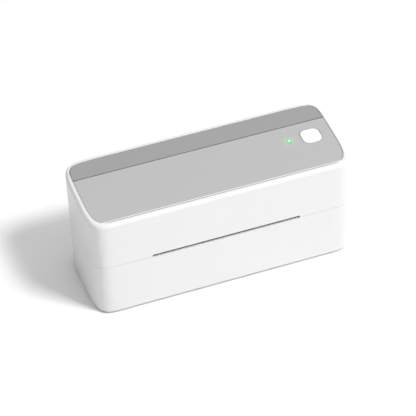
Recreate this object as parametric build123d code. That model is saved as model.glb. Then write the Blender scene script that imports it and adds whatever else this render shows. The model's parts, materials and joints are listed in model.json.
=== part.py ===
from build123d import *
import math
import os

# Desktop thermal label printer, in millimetres.
# X runs along the case, the front is -Y, Z is up; the origin is on the resting
# surface, under the middle of the case.

# ---------------------------------------------------------------- case
LENGTH = 208.0                 # X
DEPTH = 77.5                   # Y
SEAM_Z = 46.1                  # plane where the lid meets the base
SEAM_GAP = 0.3
CASE_BOTTOM = 1.5              # the feet hold the case this far off the surface
TOP_Z = 89.1                   # height of the rim's plane above the groove
TOP_SLOPE = 0.055              # rise of the top towards the back
GROOVE_Y = 17.0                # groove between the two top panels
# Corners: length along X, length along Y, and how square, 0.55 being an ellipse.
FRONT_CORNER = (16.0, 30.0, 0.80)
REAR_CORNER = (32.0, 32.0, 0.935)
WALL = 2.5
FLOOR = 2.5
BOTTOM_EDGE = 1.2
RIM_EDGE = 2.9                 # rounding of the lid's outer top edge

# ---------------------------------------------------------------- top panels
RIM_X = 3.5
RIM_Y = 3.7
PANEL_FRONT_CORNER = (14.0, 28.0, 0.80)
PANEL_REAR_CORNER = (20.0, 20.0, 0.90)
PANEL_DROP = 0.4               # panels lie this far under the rim
PANEL_THICK = 1.6
LEDGE_THICK = 2.0
PANEL_GAP = 0.25
GROOVE_WIDTH = 0.5

# ---------------------------------------------------------------- media path
SLOT_WIDTH = 117.0             # where labels come out at the front
SLOT_HEIGHT = 1.6
INLET_HALF = 61.0              # half-width of the opening at the back
INLET_LOW = 43.5
INLET_HIGH = 50.2
DECK_TOP = 43.5
DECK_THICK = 1.5
PLATE_X = 64.0                 # inner face of the chassis side plates
PLATE_THICK = 1.5

# ---------------------------------------------------------------- platen and gears
PLATEN_Y = -24.0
PLATEN_Z = 38.2
PLATEN_R = 8.0
PLATEN_HALF = 56.0
SHAFT_R = 3.0
RUNNING = 0.06                 # radial clearance of a running fit
SNUG = 0.02                    # radial clearance of a fixed pin in its hole
MODULE = 0.5
BACKLASH = 0.12
PLATEN_TEETH = 40
IDLER_SMALL = 16
IDLER_LARGE = 48
PINION_TEETH = 16
IDLER_ANGLE = -45.0            # from the platen to the idler, from +Y towards +Z
MOTOR_Z = 22.5
MOTOR_R = 16.0
MOTOR_LENGTH = 22.0
INNER_GEARS = (-71.5, -67.0)   # X span of the platen gear and the small idler
OUTER_GEARS = (-76.0, -72.0)   # X span of the large idler and the motor pinion

# ---------------------------------------------------------------- hinge and catches
HINGE_R = 3.3
HINGE_CLEAR = 0.3
LID_OPEN = 70.0                # how far the lid turns
HINGE_Y = DEPTH / 2 - HINGE_R
HINGE_Z = SEAM_Z
PIN_R = 1.5
BASE_KNUCKLES = ((64.5, 71.5), (84.5, 92.0))
LID_KNUCKLE = (71.8, 84.2)
LID_BEAD = (92.3, 97.7)
PIN_END = 91.8
CATCH_X = 85.0
CATCH_Y = -28.2
CATCH_Z = 42.2

# ---------------------------------------------------------------- media guides
WEB_Y = (9.6, 11.8)            # where the left guide's web passes through the deck
WEB_LENGTH = 7.0
RACK_MODULE = 1.0
RACK_TEETH = 14
RACK_R = RACK_MODULE * RACK_TEETH / 2
RACK_Y = 21.0                  # guide pinion's axis
RACK_LOW = 38.2
RACK_HIGH = 41.4
GUIDE_INNER = 59.2             # guide face when fully open
GUIDE_TRAVEL = 46.0

# ---------------------------------------------------------------- print head
HEAD_GAP = 0.3                 # room for one label between head and platen
HEAD_BOTTOM = PLATEN_Z + PLATEN_R + HEAD_GAP
HEAD_PIVOT_Y = -4.0
HEAD_PIVOT_Z = 57.5
FRAME_LOW = 62.0               # underside of the lid's inner frame
FRAME_HIGH = 64.0

# ---------------------------------------------------------------- button and light
BUTTON_X = 83.5
BUTTON_Y = 0.6
BUTTON_SIZE = 15.2
BUTTON_CORNER = 5.1
BUTTON_FLANGE = 1.0
BUTTON_STEM_LOW = -7.0
LIGHT_X = 65.9
LIGHT_Y = 0.0
LIGHT_R = 1.8
SWITCH_BOARD_Z = -11.5         # top of the button's board, under the rim's plane

# ---------------------------------------------------------------- electrics
BOARD_Z = 9.0
BOARD_THICK = 1.6
BOARD_X = (-20.0, 61.0)
BOARD_Y = (-28.0, 33.0)
USB_X = 28.0
JACK_X = 50.0
ROCKER_X = 2.0
ROCKER_Z = 26.5
ROCKER_Y = 32.6
ROCKER_TILT = 8.0

# ---------------------------------------------------------------- feet and screws
FOOT_X = 82.0
FOOT_Y = 24.0
FOOT_R = 6.0
FOOT_RECESS = 1.0
SCREW_R = 1.3
SCREW_HEAD_R = 2.6
SCREW_HEAD = 1.5
DECK_SCREWS_Y = (17.0, 25.0)
DECK_SCREW_Z = 38.0
SWITCH_BOARD_POSTS = ((-28.0, -4.5), (-28.0, 4.5), (13.6, 0.0))
GUIDE_POSTS = ((-50.0, 6.0), (50.0, 6.0), (-50.0, 22.0), (50.0, 22.0))
SPRING_X = (-34.0, 34.0)
SPRING_SCREW_Y = -8.0
PLATE_SCREWS_Y = (-20.0, 22.0)
PLATE_SCREW_X = PLATE_X + PLATE_THICK + 4.5
LID_SCREWS = ((-80.0, -26.0), (80.0, -26.0), (-80.0, 24.0), (80.0, 24.0))
BOARD_SCREWS = ((-16.5, -24.5), (57.5, -24.5), (-16.5, 29.5), (57.5, 29.5))

BIG = 200.0                    # reach of cutting tools past the part


# ================================================================ shapes
def box(x, y, z):
    """A block from three (low, high) pairs."""
    size = [high - low for low, high in (x, y, z)]
    middle = [(high + low) / 2 for low, high in (x, y, z)]
    return Pos(*middle) * Box(*size)


def rod_x(radius, x, at_y, at_z):
    """A round bar along X from x[0] to x[1]."""
    return Pos((x[0] + x[1]) / 2, at_y, at_z) * Rot(0, 90, 0) * Cylinder(radius, x[1] - x[0])


def rod_y(radius, y, at_x, at_z):
    return Pos(at_x, (y[0] + y[1]) / 2, at_z) * Rot(90, 0, 0) * Cylinder(radius, y[1] - y[0])


def rod_z(radius, z, at_x, at_y):
    return Pos(at_x, at_y, (z[0] + z[1]) / 2) * Cylinder(radius, z[1] - z[0])


def bar_x(points, x):
    """A bar along X whose section is the polygon of (y, z) points."""
    section = make_face(Plane.YZ * Polyline(*points, close=True))
    return extrude(Pos(x[0], 0, 0) * section, amount=x[1] - x[0], dir=(1, 0, 0))


def both_sides(shape):
    """The shape and its mirror image on the other side of the YZ plane."""
    return [shape, mirror(shape, about=Plane.YZ)]


def cut_all(shape, tools):
    for tool in tools:
        shape -= tool
    return shape


def join_all(shapes):
    whole = shapes[0]
    for shape in shapes[1:]:
        whole += shape
    return whole


def soft_rectangle(half_x, half_y, front, rear, inset):
    """A rectangle, inset all round, whose corners flow into its sides without a step in curvature."""
    half_x -= inset
    half_y -= inset
    edges = []
    previous = None
    first = None
    for sign_x, sign_y in ((1, 1), (-1, 1), (-1, -1), (1, -1)):
        along_x, along_y, pull = rear if sign_y > 0 else front
        tip = Vector(sign_x * half_x, sign_y * half_y)
        on_x_side = Vector(sign_x * half_x, sign_y * (half_y + inset - along_y))
        on_y_side = Vector(sign_x * (half_x + inset - along_x), sign_y * half_y)
        start, end = (on_x_side, on_y_side) if sign_x == sign_y else (on_y_side, on_x_side)
        if previous is not None:
            edges.append(Line(previous, start))
        first = first or start
        edges.append(
            Bezier(start, start + (tip - start) * pull, end + (tip - end) * pull, end)
        )
        previous = end
    edges.append(Line(previous, first))
    return make_face(edges)


def polygon_prism(points, z):
    return prism(make_face(Polyline(*points, close=True)), z)


def prism(face, z):
    return extrude(Pos(0, 0, z[0]) * face, amount=z[1] - z[0], dir=(0, 0, 1))


def case_outline(inset):
    return soft_rectangle(LENGTH / 2, DEPTH / 2, FRONT_CORNER, REAR_CORNER, inset)


def panel_outline(inset):
    half_x = LENGTH / 2 - RIM_X
    half_y = DEPTH / 2 - RIM_Y
    return soft_rectangle(half_x, half_y, PANEL_FRONT_CORNER, PANEL_REAR_CORNER, inset)


def top_z(y):
    return TOP_Z + TOP_SLOPE * (y - GROOVE_Y)


def under_top(drop):
    """Everything below the sloping plane that lies this far under the rim."""
    back = DEPTH
    points = ((-back, -back), (back, -back), (back, top_z(back) - drop), (-back, top_z(-back) - drop))
    return bar_x(points, (-BIG, BIG))


def on_top(x, y):
    """Frame on the rim's plane, tilted with it, above the point (x, y)."""
    return Pos(x, y, top_z(y)) * Rot(math.degrees(math.atan(TOP_SLOPE)), 0, 0)


def screw(shank_r, head_r, head, length):
    """Pan-head screw with a cross recess, its head on top and its tip down."""
    body = Cylinder(head_r, head, align=(Align.CENTER, Align.CENTER, Align.MIN))
    body = fillet(body.faces().sort_by(Axis.Z)[-1].edges(), head * 0.3)
    recess = Box(head_r * 1.1, head_r * 0.25, head) + Box(head_r * 0.25, head_r * 1.1, head)
    body -= Pos(0, 0, head) * recess
    return body + Cylinder(shank_r, length, align=(Align.CENTER, Align.CENTER, Align.MAX))


def gear(teeth, module, thickness, phase):
    """Spur gear about Z with straight-flanked teeth; phase points one tooth, in degrees."""
    pitch_r = teeth * module / 2
    tip_r = pitch_r + module
    root_r = pitch_r - 1.25 * module
    half_pitch = (math.pi * module / 2 - BACKLASH) / 2
    lean = math.tan(math.radians(20.0))
    tip_half = half_pitch - module * lean
    root_half = half_pitch + 1.0 * module * lean
    points = []
    for tooth in range(teeth):
        middle = math.radians(phase + 360.0 * tooth / teeth)
        for radius, half in ((root_r, -root_half), (tip_r, -tip_half), (tip_r, tip_half), (root_r, root_half)):
            angle = middle + half / radius
            points.append((radius * math.cos(angle), radius * math.sin(angle)))
    return polygon_prism(points, (0, thickness))


def turned_to_x(shape, x_low, at_y, at_z):
    """A shape built about Z, moved so that it lies about an axis along X."""
    return Plane(origin=(x_low, at_y, at_z), x_dir=(0, 1, 0), z_dir=(1, 0, 0)) * shape


# ================================================================ gear train
INNER_DISTANCE = MODULE * (PLATEN_TEETH + IDLER_SMALL) / 2
OUTER_DISTANCE = MODULE * (IDLER_LARGE + PINION_TEETH) / 2
IDLER_Y = PLATEN_Y + INNER_DISTANCE * math.cos(math.radians(IDLER_ANGLE))
IDLER_Z = PLATEN_Z + INNER_DISTANCE * math.sin(math.radians(IDLER_ANGLE))
MOTOR_ANGLE = math.degrees(math.asin((MOTOR_Z - IDLER_Z) / OUTER_DISTANCE))
MOTOR_Y = IDLER_Y + OUTER_DISTANCE * math.cos(math.radians(MOTOR_ANGLE))


def facing_gap(angle, teeth):
    """Phase that points a gap, not a tooth, back along the line of centres."""
    return angle + 180.0 + 180.0 / teeth


def platen_gear():
    wheel = gear(PLATEN_TEETH, MODULE, INNER_GEARS[1] - INNER_GEARS[0], IDLER_ANGLE)
    wheel = turned_to_x(wheel, INNER_GEARS[0], PLATEN_Y, PLATEN_Z)
    return wheel - rod_x(SHAFT_R - 0.5 + SNUG, (-BIG, BIG), PLATEN_Y, PLATEN_Z)


def idler_gear():
    small_width = INNER_GEARS[1] - INNER_GEARS[0] + 0.5
    large_width = OUTER_GEARS[1] - OUTER_GEARS[0]
    small = gear(IDLER_SMALL, MODULE, small_width, facing_gap(IDLER_ANGLE, IDLER_SMALL))
    large = gear(IDLER_LARGE, MODULE, large_width, MOTOR_ANGLE)
    wheel = turned_to_x(small, OUTER_GEARS[1], IDLER_Y, IDLER_Z)
    wheel += turned_to_x(large, OUTER_GEARS[0], IDLER_Y, IDLER_Z)
    return wheel - rod_x(PIN_R + RUNNING, (-BIG, BIG), IDLER_Y, IDLER_Z)


def idler_post():
    """Riveted steel post with a washer-like head that keeps the idler on."""
    post = rod_x(PIN_R, (OUTER_GEARS[0] - 0.5, -PLATE_X), IDLER_Y, IDLER_Z)
    return post + rod_x(PIN_R + 1.3, (OUTER_GEARS[0] - 1.3, OUTER_GEARS[0] - 0.3), IDLER_Y, IDLER_Z)


def motor_pinion():
    wheel = gear(PINION_TEETH, MODULE, OUTER_GEARS[1] - OUTER_GEARS[0], facing_gap(MOTOR_ANGLE, PINION_TEETH))
    wheel = turned_to_x(wheel, OUTER_GEARS[0], MOTOR_Y, MOTOR_Z)
    return wheel - rod_x(PIN_R + SNUG, (-BIG, BIG), MOTOR_Y, MOTOR_Z)


def motor_shaft():
    return rod_x(PIN_R, (OUTER_GEARS[0] - 0.5, -PLATE_X + 8.0), MOTOR_Y, MOTOR_Z)


def stepper_motor():
    """Can-stack stepper with a two-eared mounting flange and a pilot boss."""
    face = -PLATE_X + 0.1
    motor = rod_x(MOTOR_R, (face + 0.8, face + MOTOR_LENGTH), MOTOR_Y, MOTOR_Z)
    motor = fillet(motor.edges().filter_by(GeomType.CIRCLE), 0.8)
    motor -= rod_x(MOTOR_R + 1, (face + 10.6, face + 11.2), MOTOR_Y, MOTOR_Z) - rod_x(
        MOTOR_R - 0.6, (face + 10.6, face + 11.2), MOTOR_Y, MOTOR_Z
    )
    ears = box((face, face + 0.8), (MOTOR_Y - 20.0, MOTOR_Y + 20.0), (MOTOR_Z - 4.0, MOTOR_Z + 4.0))
    ears = ears + rod_x(MOTOR_R, (face, face + 0.8), MOTOR_Y, MOTOR_Z)
    for side in (-1, 1):
        ears -= rod_x(SCREW_R + SNUG, (-BIG, 0), MOTOR_Y + side * 18.0, MOTOR_Z)
    motor += ears
    return motor - rod_x(PIN_R + RUNNING, (face - 1.0, face + 8.4), MOTOR_Y, MOTOR_Z)


def motor_screws():
    shank = screw(SCREW_R, SCREW_HEAD_R - 0.4, 1.2, 2.6)
    low = -PLATE_X - PLATE_THICK
    return [
        Pos(low, MOTOR_Y + side * 18.0, MOTOR_Z) * Rot(0, -90, 0) * shank
        for side in (-1, 1)
    ]


# ================================================================ base
def rear_windows(z):
    """The media inlet and the gaps around the base's hinge knuckles, through the back wall."""
    y = (HINGE_Y - HINGE_R - HINGE_CLEAR, DEPTH)
    edge = (BASE_KNUCKLES[0][1] + LID_KNUCKLE[0]) / 2
    outer = (BASE_KNUCKLES[1][0] - 0.15, BASE_KNUCKLES[1][1] + 0.15)
    return [box((-edge, edge), y, z)] + both_sides(box(outer, y, z))


def base_knuckles():
    """Hinge eyes that stand on short webs inside the base's back wall."""
    eyes = []
    for span in BASE_KNUCKLES:
        eye = rod_x(HINGE_R, span, HINGE_Y, HINGE_Z)
        eye += box(span, (HINGE_Y - HINGE_R, HINGE_Y + 1.5), (CATCH_Z - 6.0, HINGE_Z - 2.2))
        eyes += both_sides(eye)
    return eyes


def lid_swing():
    """Where the lid's back wall lies when it is fully open, with a little room under it."""
    span = (LID_KNUCKLE[0] - 0.15, LID_KNUCKLE[1] + 0.15)
    wall = box(span, (0, HINGE_R + 0.35), (0, 5.0))
    return Pos(0, HINGE_Y, HINGE_Z) * Rot(-LID_OPEN, 0, 0) * wall


def catch_ribs():
    """Pairs of ribs on the front wall that carry the catch pins."""
    ribs = []
    for x in ((CATCH_X - 5.5, CATCH_X - 3.5), (CATCH_X + 3.5, CATCH_X + 5.5)):
        ribs += both_sides(box(x, (-DEPTH / 2 + WALL - 0.2, CATCH_Y + 3.2), (CATCH_Z - 16.0, SEAM_Z - 0.5)))
    return ribs


def rear_sockets():
    """Holes in the back wall for the data port, the power jack and the power switch."""
    y = (DEPTH / 2 - WALL - 1.0, DEPTH)
    usb = box((USB_X - 6.3, USB_X + 6.3), y, (BOARD_Z + BOARD_THICK - 0.2, BOARD_Z + BOARD_THICK + 11.2))
    jack = rod_y(4.7, y, JACK_X, BOARD_Z + BOARD_THICK + 5.5)
    switch = box((ROCKER_X - 7.2, ROCKER_X + 7.2), y, (ROCKER_Z - 10.2, ROCKER_Z + 10.2))
    flange = box((ROCKER_X - 8.7, ROCKER_X + 8.7), (DEPTH / 2 - 1.2, DEPTH), (ROCKER_Z - 11.7, ROCKER_Z + 11.7))
    return [usb, jack, switch, flange]


def lower_shell():
    top = SEAM_Z - SEAM_GAP / 2
    shell = prism(case_outline(0), (CASE_BOTTOM, top))
    shell = fillet(shell.faces().sort_by(Axis.Z)[0].edges(), BOTTOM_EDGE)
    shell -= prism(case_outline(WALL), (CASE_BOTTOM + FLOOR, BIG))
    shell = cut_all(shell, rear_windows((INLET_LOW, BIG)))
    relief = rod_x(HINGE_R + HINGE_CLEAR, (INLET_HALF, LID_BEAD[1] + HINGE_CLEAR), HINGE_Y, HINGE_Z)
    shell = cut_all(shell, both_sides(relief) + both_sides(lid_swing()))
    shell -= box((-SLOT_WIDTH / 2, SLOT_WIDTH / 2), (-DEPTH, -DEPTH / 2 + WALL + 1), (SEAM_Z - 1.1, BIG))
    eyes = [eye & prism(case_outline(0), (CASE_BOTTOM, BIG)) for eye in base_knuckles()]
    shell = join_all([shell] + eyes + catch_ribs())
    shell = cut_all(shell, rear_sockets())
    posts = [rod_z(3.0, (CASE_BOTTOM + 1.0, BOARD_Z), x, y) for x, y in BOARD_SCREWS]
    shell = join_all([shell] + posts)
    holes = [rod_z(SCREW_R + 0.05, (CASE_BOTTOM + 2.0, BOARD_Z + 1), x, y) for x, y in BOARD_SCREWS]
    for side in (-1, 1):
        for y in PLATE_SCREWS_Y:
            holes.append(rod_z(SCREW_R + 0.3, (0, 10), side * PLATE_SCREW_X, y))
            holes.append(rod_z(SCREW_HEAD_R + 0.3, (0, CASE_BOTTOM + SCREW_HEAD + 0.1), side * PLATE_SCREW_X, y))
        for foot_y in (-FOOT_Y, FOOT_Y):
            holes.append(rod_z(FOOT_R + 0.15, (0, CASE_BOTTOM + FOOT_RECESS), side * FOOT_X, foot_y))
    holes += both_sides(rod_x(PIN_R + SNUG, (PLATE_X, PIN_END + 0.5), HINGE_Y, HINGE_Z))
    holes += both_sides(rod_x(PIN_R + SNUG, (CATCH_X - 6.0, CATCH_X + 6.0), CATCH_Y, CATCH_Z))
    return cut_all(shell, holes)


def hinge_pins():
    return both_sides(rod_x(PIN_R, (BASE_KNUCKLES[0][0], PIN_END), HINGE_Y, HINGE_Z))


def catch_pins():
    return both_sides(rod_x(PIN_R, (CATCH_X - 5.5, CATCH_X + 5.5), CATCH_Y, CATCH_Z))


def rubber_feet():
    foot = rod_z(FOOT_R, (0, CASE_BOTTOM + FOOT_RECESS), 0, 0)
    foot = fillet(foot.faces().sort_by(Axis.Z)[0].edges(), 0.5)
    return [Pos(x, y, 0) * foot for x in (-FOOT_X, FOOT_X) for y in (-FOOT_Y, FOOT_Y)]


def chassis_screws():
    """Screws up through the base's floor into the side plates' flanges."""
    shank = Rot(180, 0, 0) * screw(SCREW_R, SCREW_HEAD_R, SCREW_HEAD - 0.3, 5.0)
    low = CASE_BOTTOM + SCREW_HEAD + 0.1
    return [Pos(side * PLATE_SCREW_X, y, low) * shank for side in (-1, 1) for y in PLATE_SCREWS_Y]


def side_plate(side):
    """Bent steel plate that holds one end of the platen; side is -1 on the left."""
    z_low = CASE_BOTTOM + FLOOR
    upright = bar_x(
        ((-33.0, z_low), (30.0, z_low), (30.0, 40.0), (26.0, 44.0), (-28.0, 44.0), (-33.0, 38.0)),
        (PLATE_X, PLATE_X + PLATE_THICK),
    )
    flange = box((PLATE_X, PLATE_X + 9.0), (-33.0, 30.0), (z_low, z_low + PLATE_THICK))
    plate = upright + flange
    plate -= rod_x(5.0 + SNUG, (0, BIG), PLATEN_Y, PLATEN_Z)
    for y in PLATE_SCREWS_Y:
        plate -= rod_z(SCREW_R + SNUG, (0, 10), PLATE_SCREW_X, y)
    for y in DECK_SCREWS_Y:
        plate -= rod_x(SCREW_R + SNUG, (0, BIG), y, DECK_SCREW_Z)
    if side > 0:
        return plate - rod_x(7.0, (0, BIG), 2.0, 22.0)
    plate -= rod_x(PIN_R + 1.5, (0, BIG), MOTOR_Y, MOTOR_Z)
    plate -= rod_x(PIN_R + SNUG, (0, BIG), IDLER_Y, IDLER_Z)
    for ear in (-1, 1):
        plate -= rod_x(SCREW_R + SNUG, (0, BIG), MOTOR_Y + ear * 18.0, MOTOR_Z)
    return mirror(plate, about=Plane.YZ)


def platen_bush(side):
    """Flanged plastic bush in a side plate."""
    bush = rod_x(5.0, (PLATE_X - 0.2, PLATE_X + PLATE_THICK), PLATEN_Y, PLATEN_Z)
    bush += rod_x(6.2, (PLATE_X - 1.2, PLATE_X - 0.1), PLATEN_Y, PLATEN_Z)
    bush -= rod_x(SHAFT_R + RUNNING, (0, BIG), PLATEN_Y, PLATEN_Z)
    return bush if side > 0 else mirror(bush, about=Plane.YZ)


def platen_shaft():
    shaft = rod_x(SHAFT_R, (-PLATE_X - PLATE_THICK - 0.8, PLATE_X + 3.0), PLATEN_Y, PLATEN_Z)
    shaft = chamfer(shaft.edges().filter_by(GeomType.CIRCLE), 0.4)
    return shaft + rod_x(SHAFT_R - 0.5, (INNER_GEARS[0], -PLATE_X), PLATEN_Y, PLATEN_Z)


def platen_rubber():
    roller = rod_x(PLATEN_R, (-PLATEN_HALF, PLATEN_HALF), PLATEN_Y, PLATEN_Z)
    roller = fillet(roller.edges().filter_by(GeomType.CIRCLE), 0.4)
    return roller - rod_x(SHAFT_R, (-BIG, BIG), PLATEN_Y, PLATEN_Z)


# ================================================================ media path
def paper_deck():
    """Plate that the labels slide over, with slots for the guides and downturned sides."""
    x = PLATE_X - 0.1
    deck = box((-x, x), (-13.0, DEPTH / 2 - WALL - 0.4), (DECK_TOP - DECK_THICK, DECK_TOP))
    for flange in both_sides(box((x - 1.5, x), (13.5, 28.5), (34.5, DECK_TOP - 0.5))):
        deck += flange
    slot = box(
        (-GUIDE_INNER - 2.6, -GUIDE_INNER + GUIDE_TRAVEL + WEB_LENGTH),
        (WEB_Y[0] - 0.4, WEB_Y[1] + 0.4),
        (DECK_TOP - 5.0, DECK_TOP + 5.0),
    )
    deck -= slot
    deck -= Pos(0, RACK_Y, 0) * Rot(0, 0, 180) * Pos(0, -RACK_Y, 0) * slot
    deck -= box((-4.0, 4.0), (-11.0, -5.0), (DECK_TOP - 5.0, DECK_TOP + 5.0))
    deck -= rod_z(PIN_R + SNUG, (30, 60), 0, RACK_Y)
    deck = chamfer(deck.edges().filter_by(Axis.X).group_by(Axis.Y)[0].sort_by(Axis.Z)[-1], 1.0)
    for side in (-1, 1):
        for y in DECK_SCREWS_Y:
            span = sorted((side * (x - 2.0), side * (x + 1.0)))
            deck -= rod_x(SCREW_R + 0.05, span, y, DECK_SCREW_Z)
    return deck


def deck_screws():
    one = screw(SCREW_R, SCREW_HEAD_R - 0.4, 1.2, 3.0)
    placed = [Pos(PLATE_X + PLATE_THICK, y, DECK_SCREW_Z) * Rot(0, 90, 0) * one for y in DECK_SCREWS_Y]
    return placed + [mirror(item, about=Plane.YZ) for item in placed]


def front_paper_guide():
    """Moulded ledge between the platen and the tear bar, hooked on the front wall."""
    inner = -DEPTH / 2 + WALL + 0.05
    points = (
        (inner, 36.0), (inner, 44.8), (-34.2, 44.8), (-34.2, 45.8), (-30.6, 45.2),
        (-31.4, 43.8), (-34.7, 43.4), (-34.7, 36.0),
    )
    return bar_x(points, (-SLOT_WIDTH / 2 + 1.5, SLOT_WIDTH / 2 - 1.5))


def tear_bar():
    """Steel strip on the front wall with a row of fine teeth along its front edge."""
    half = SLOT_WIDTH / 2 - 1.0
    front = -DEPTH / 2 + 0.5
    depth = 0.6
    count = 76
    pitch = 2 * half / count
    points = [(half, -34.3), (-half, -34.3)]
    for tooth in range(count):
        start = -half + tooth * pitch
        points += [(start, front + depth), (start + pitch / 2, front)]
    points.append((half, front + depth))
    return polygon_prism(points, (SEAM_Z - 1.05, SEAM_Z - 0.05))


def media_sensor():
    """Gap sensor looking up through the deck, on a small board."""
    body = box((-3.0, 3.0), (-10.4, -5.6), (39.0, DECK_TOP - 0.2))
    body = fillet(body.edges().filter_by(Axis.Z), 0.6)
    return body + box((-8.0, 8.0), (-12.4, -2.6), (38.0, 39.0))


def rack_bar():
    """The left guide's toothed bar, its teeth towards the pinion behind it."""
    pitch = math.pi * RACK_MODULE
    line = RACK_Y - RACK_R
    lean = math.tan(math.radians(20.0))
    half = (pitch / 2 - 2 * BACKLASH) / 2
    left = -GUIDE_INNER - 2.2
    right = 9.0
    first = -math.floor(-left / pitch) + 1
    last = math.floor(right / pitch) - 1
    points = [(right, line - 1.25 * RACK_MODULE - 3.0), (left, line - 1.25 * RACK_MODULE - 3.0)]
    points.append((left, line - 1.25 * RACK_MODULE))
    for tooth in range(first, last + 1):
        middle = tooth * pitch
        root = half + 1.25 * RACK_MODULE * lean
        tip = half - RACK_MODULE * lean
        points.append((middle - root, line - 1.25 * RACK_MODULE))
        points.append((middle - tip, line + RACK_MODULE))
        points.append((middle + tip, line + RACK_MODULE))
        points.append((middle + root, line - 1.25 * RACK_MODULE))
    points.append((right, line - 1.25 * RACK_MODULE))
    return polygon_prism(points, (RACK_LOW, RACK_HIGH))


def left_guide():
    """Sliding edge guide: an upright with an inward lip, on a rack under the deck."""
    low = DECK_TOP + 0.3
    lip_y = (RACK_Y - 13.0, RACK_Y + 13.0)
    upright = box((-GUIDE_INNER - 2.2, -GUIDE_INNER), lip_y, (low, 49.6))
    lip = box((-GUIDE_INNER - 2.2, -GUIDE_INNER + 4.0), lip_y, (48.4, 49.6))
    stem = box((-GUIDE_INNER - 2.2, -GUIDE_INNER), WEB_Y, (RACK_LOW, low + 1.0))
    web = box((-GUIDE_INNER - 2.2, -GUIDE_INNER - 2.2 + WEB_LENGTH), WEB_Y, (RACK_LOW, DECK_TOP - 0.3))
    return upright + lip + stem + web + rack_bar()


def right_guide():
    return Pos(0, RACK_Y, 0) * Rot(0, 0, 180) * Pos(0, -RACK_Y, 0) * left_guide()


def guide_pinion():
    """Pinion between the two racks: a gap faces the left rack's tooth at the middle."""
    wheel = gear(RACK_TEETH, RACK_MODULE, RACK_HIGH - RACK_LOW, facing_gap(90.0, RACK_TEETH))
    wheel = Pos(0, RACK_Y, RACK_LOW) * wheel
    return wheel - rod_z(PIN_R + RUNNING, (0, 60), 0, RACK_Y)


def pinion_post():
    post = rod_z(PIN_R, (RACK_LOW - 0.5, DECK_TOP - 0.1), 0, RACK_Y)
    return post + rod_z(PIN_R + 1.8, (RACK_LOW - 1.5, RACK_LOW - 0.3), 0, RACK_Y)


# ================================================================ base electrics
def main_board():
    board = box(BOARD_X, BOARD_Y, (BOARD_Z, BOARD_Z + BOARD_THICK))
    return cut_all(board, [rod_z(SCREW_R + 0.1, (0, 20), x, y) for x, y in BOARD_SCREWS])


def board_screws():
    one = screw(SCREW_R, SCREW_HEAD_R - 0.3, SCREW_HEAD, 6.0)
    return [Pos(x, y, BOARD_Z + BOARD_THICK) * one for x, y in BOARD_SCREWS]


def on_board(x, y, height):
    """A component's block standing on the main board."""
    return box(x, y, (BOARD_Z + BOARD_THICK, BOARD_Z + BOARD_THICK + height))


def board_chips():
    return [
        on_board((4.0, 14.0), (-12.0, -2.0), 1.4),
        on_board((20.0, 28.0), (-20.0, -12.0), 1.4),
        on_board((-12.0, -6.0), (-2.0, 6.0), 1.6),
        on_board((36.0, 41.0), (-6.0, 0.0), 1.6),
    ]


def board_capacitors():
    cans = []
    for x, y, radius, height in ((48.0, 4.0, 5.0, 12.0), (48.0, -9.0, 4.0, 10.0), (34.0, 8.0, 3.2, 8.0)):
        can = rod_z(radius, (BOARD_Z + BOARD_THICK, BOARD_Z + BOARD_THICK + height), x, y)
        cans.append(fillet(can.faces().sort_by(Axis.Z)[-1].edges(), 0.7))
    return cans


def power_inductor():
    coil = on_board((-2.0, 8.0), (4.0, 14.0), 5.0)
    return fillet(coil.edges().filter_by(Axis.Z), 2.0)


def board_headers():
    """White plug-in headers for the motor, the head, the sensor and the button's board."""
    headers = []
    for x, y in (((-18.0, -12.0), (10.0, 24.0)), ((8.0, 44.0), (-27.0, -22.0)), ((52.0, 58.0), (-20.0, -8.0))):
        header = on_board(x, y, 6.0)
        well = box((x[0] + 1.0, x[1] - 1.0), (y[0] + 1.0, y[1] - 1.0), (BOARD_Z + BOARD_THICK + 1.5, 30.0))
        headers.append(header - well)
    return headers


def usb_port():
    """Square data socket: a folded metal can."""
    low = BOARD_Z + BOARD_THICK
    back = DEPTH / 2 - 0.6
    can = box((USB_X - 6.0, USB_X + 6.0), (back - 16.0, back), (low, low + 11.0))
    return can - box((USB_X - 4.3, USB_X + 4.3), (back - 12.0, back + 1.0), (low + 1.6, low + 9.4))


def usb_tongue():
    low = BOARD_Z + BOARD_THICK
    back = DEPTH / 2 - 0.6
    return box((USB_X - 2.8, USB_X + 2.8), (back - 12.0, back - 2.5), (low + 4.0, low + 7.0))


def dc_jack():
    """Power inlet: a black block with a round nose and a 6.4 mm bore."""
    low = BOARD_Z + BOARD_THICK
    back = DEPTH / 2 - 0.4
    body = box((JACK_X - 4.6, JACK_X + 4.6), (back - 14.0, DEPTH / 2 - WALL - 1.2), (low, low + 11.0))
    body += rod_y(4.5, (back - 8.0, back), JACK_X, low + 5.5)
    return body - rod_y(3.2, (back - 10.0, back + 1.0), JACK_X, low + 5.5)


def dc_jack_pin():
    back = DEPTH / 2 - 0.4
    pin = rod_y(1.0, (back - 10.0, back - 1.5), JACK_X, BOARD_Z + BOARD_THICK + 5.5)
    return fillet(pin.faces().sort_by(Axis.Y)[-1].edges(), 0.6)


def switch_housing():
    """Snap-in frame of the power switch, its flange sunk in the back wall."""
    face = DEPTH / 2 - 0.05
    frame = box((ROCKER_X - 7.0, ROCKER_X + 7.0), (ROCKER_Y - 9.0, face - 1.0), (ROCKER_Z - 10.0, ROCKER_Z + 10.0))
    flange = box((ROCKER_X - 8.5, ROCKER_X + 8.5), (face - 1.1, face), (ROCKER_Z - 11.5, ROCKER_Z + 11.5))
    frame += fillet(flange.edges().filter_by(Axis.Y), 1.2)
    well = box((ROCKER_X - 5.3, ROCKER_X + 5.3), (ROCKER_Y - 5.0, DEPTH), (ROCKER_Z - 8.9, ROCKER_Z + 8.9))
    frame -= well
    return frame - rod_x(1.0 + RUNNING, (ROCKER_X - 6.4, ROCKER_X + 6.4), ROCKER_Y, ROCKER_Z)


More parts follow.
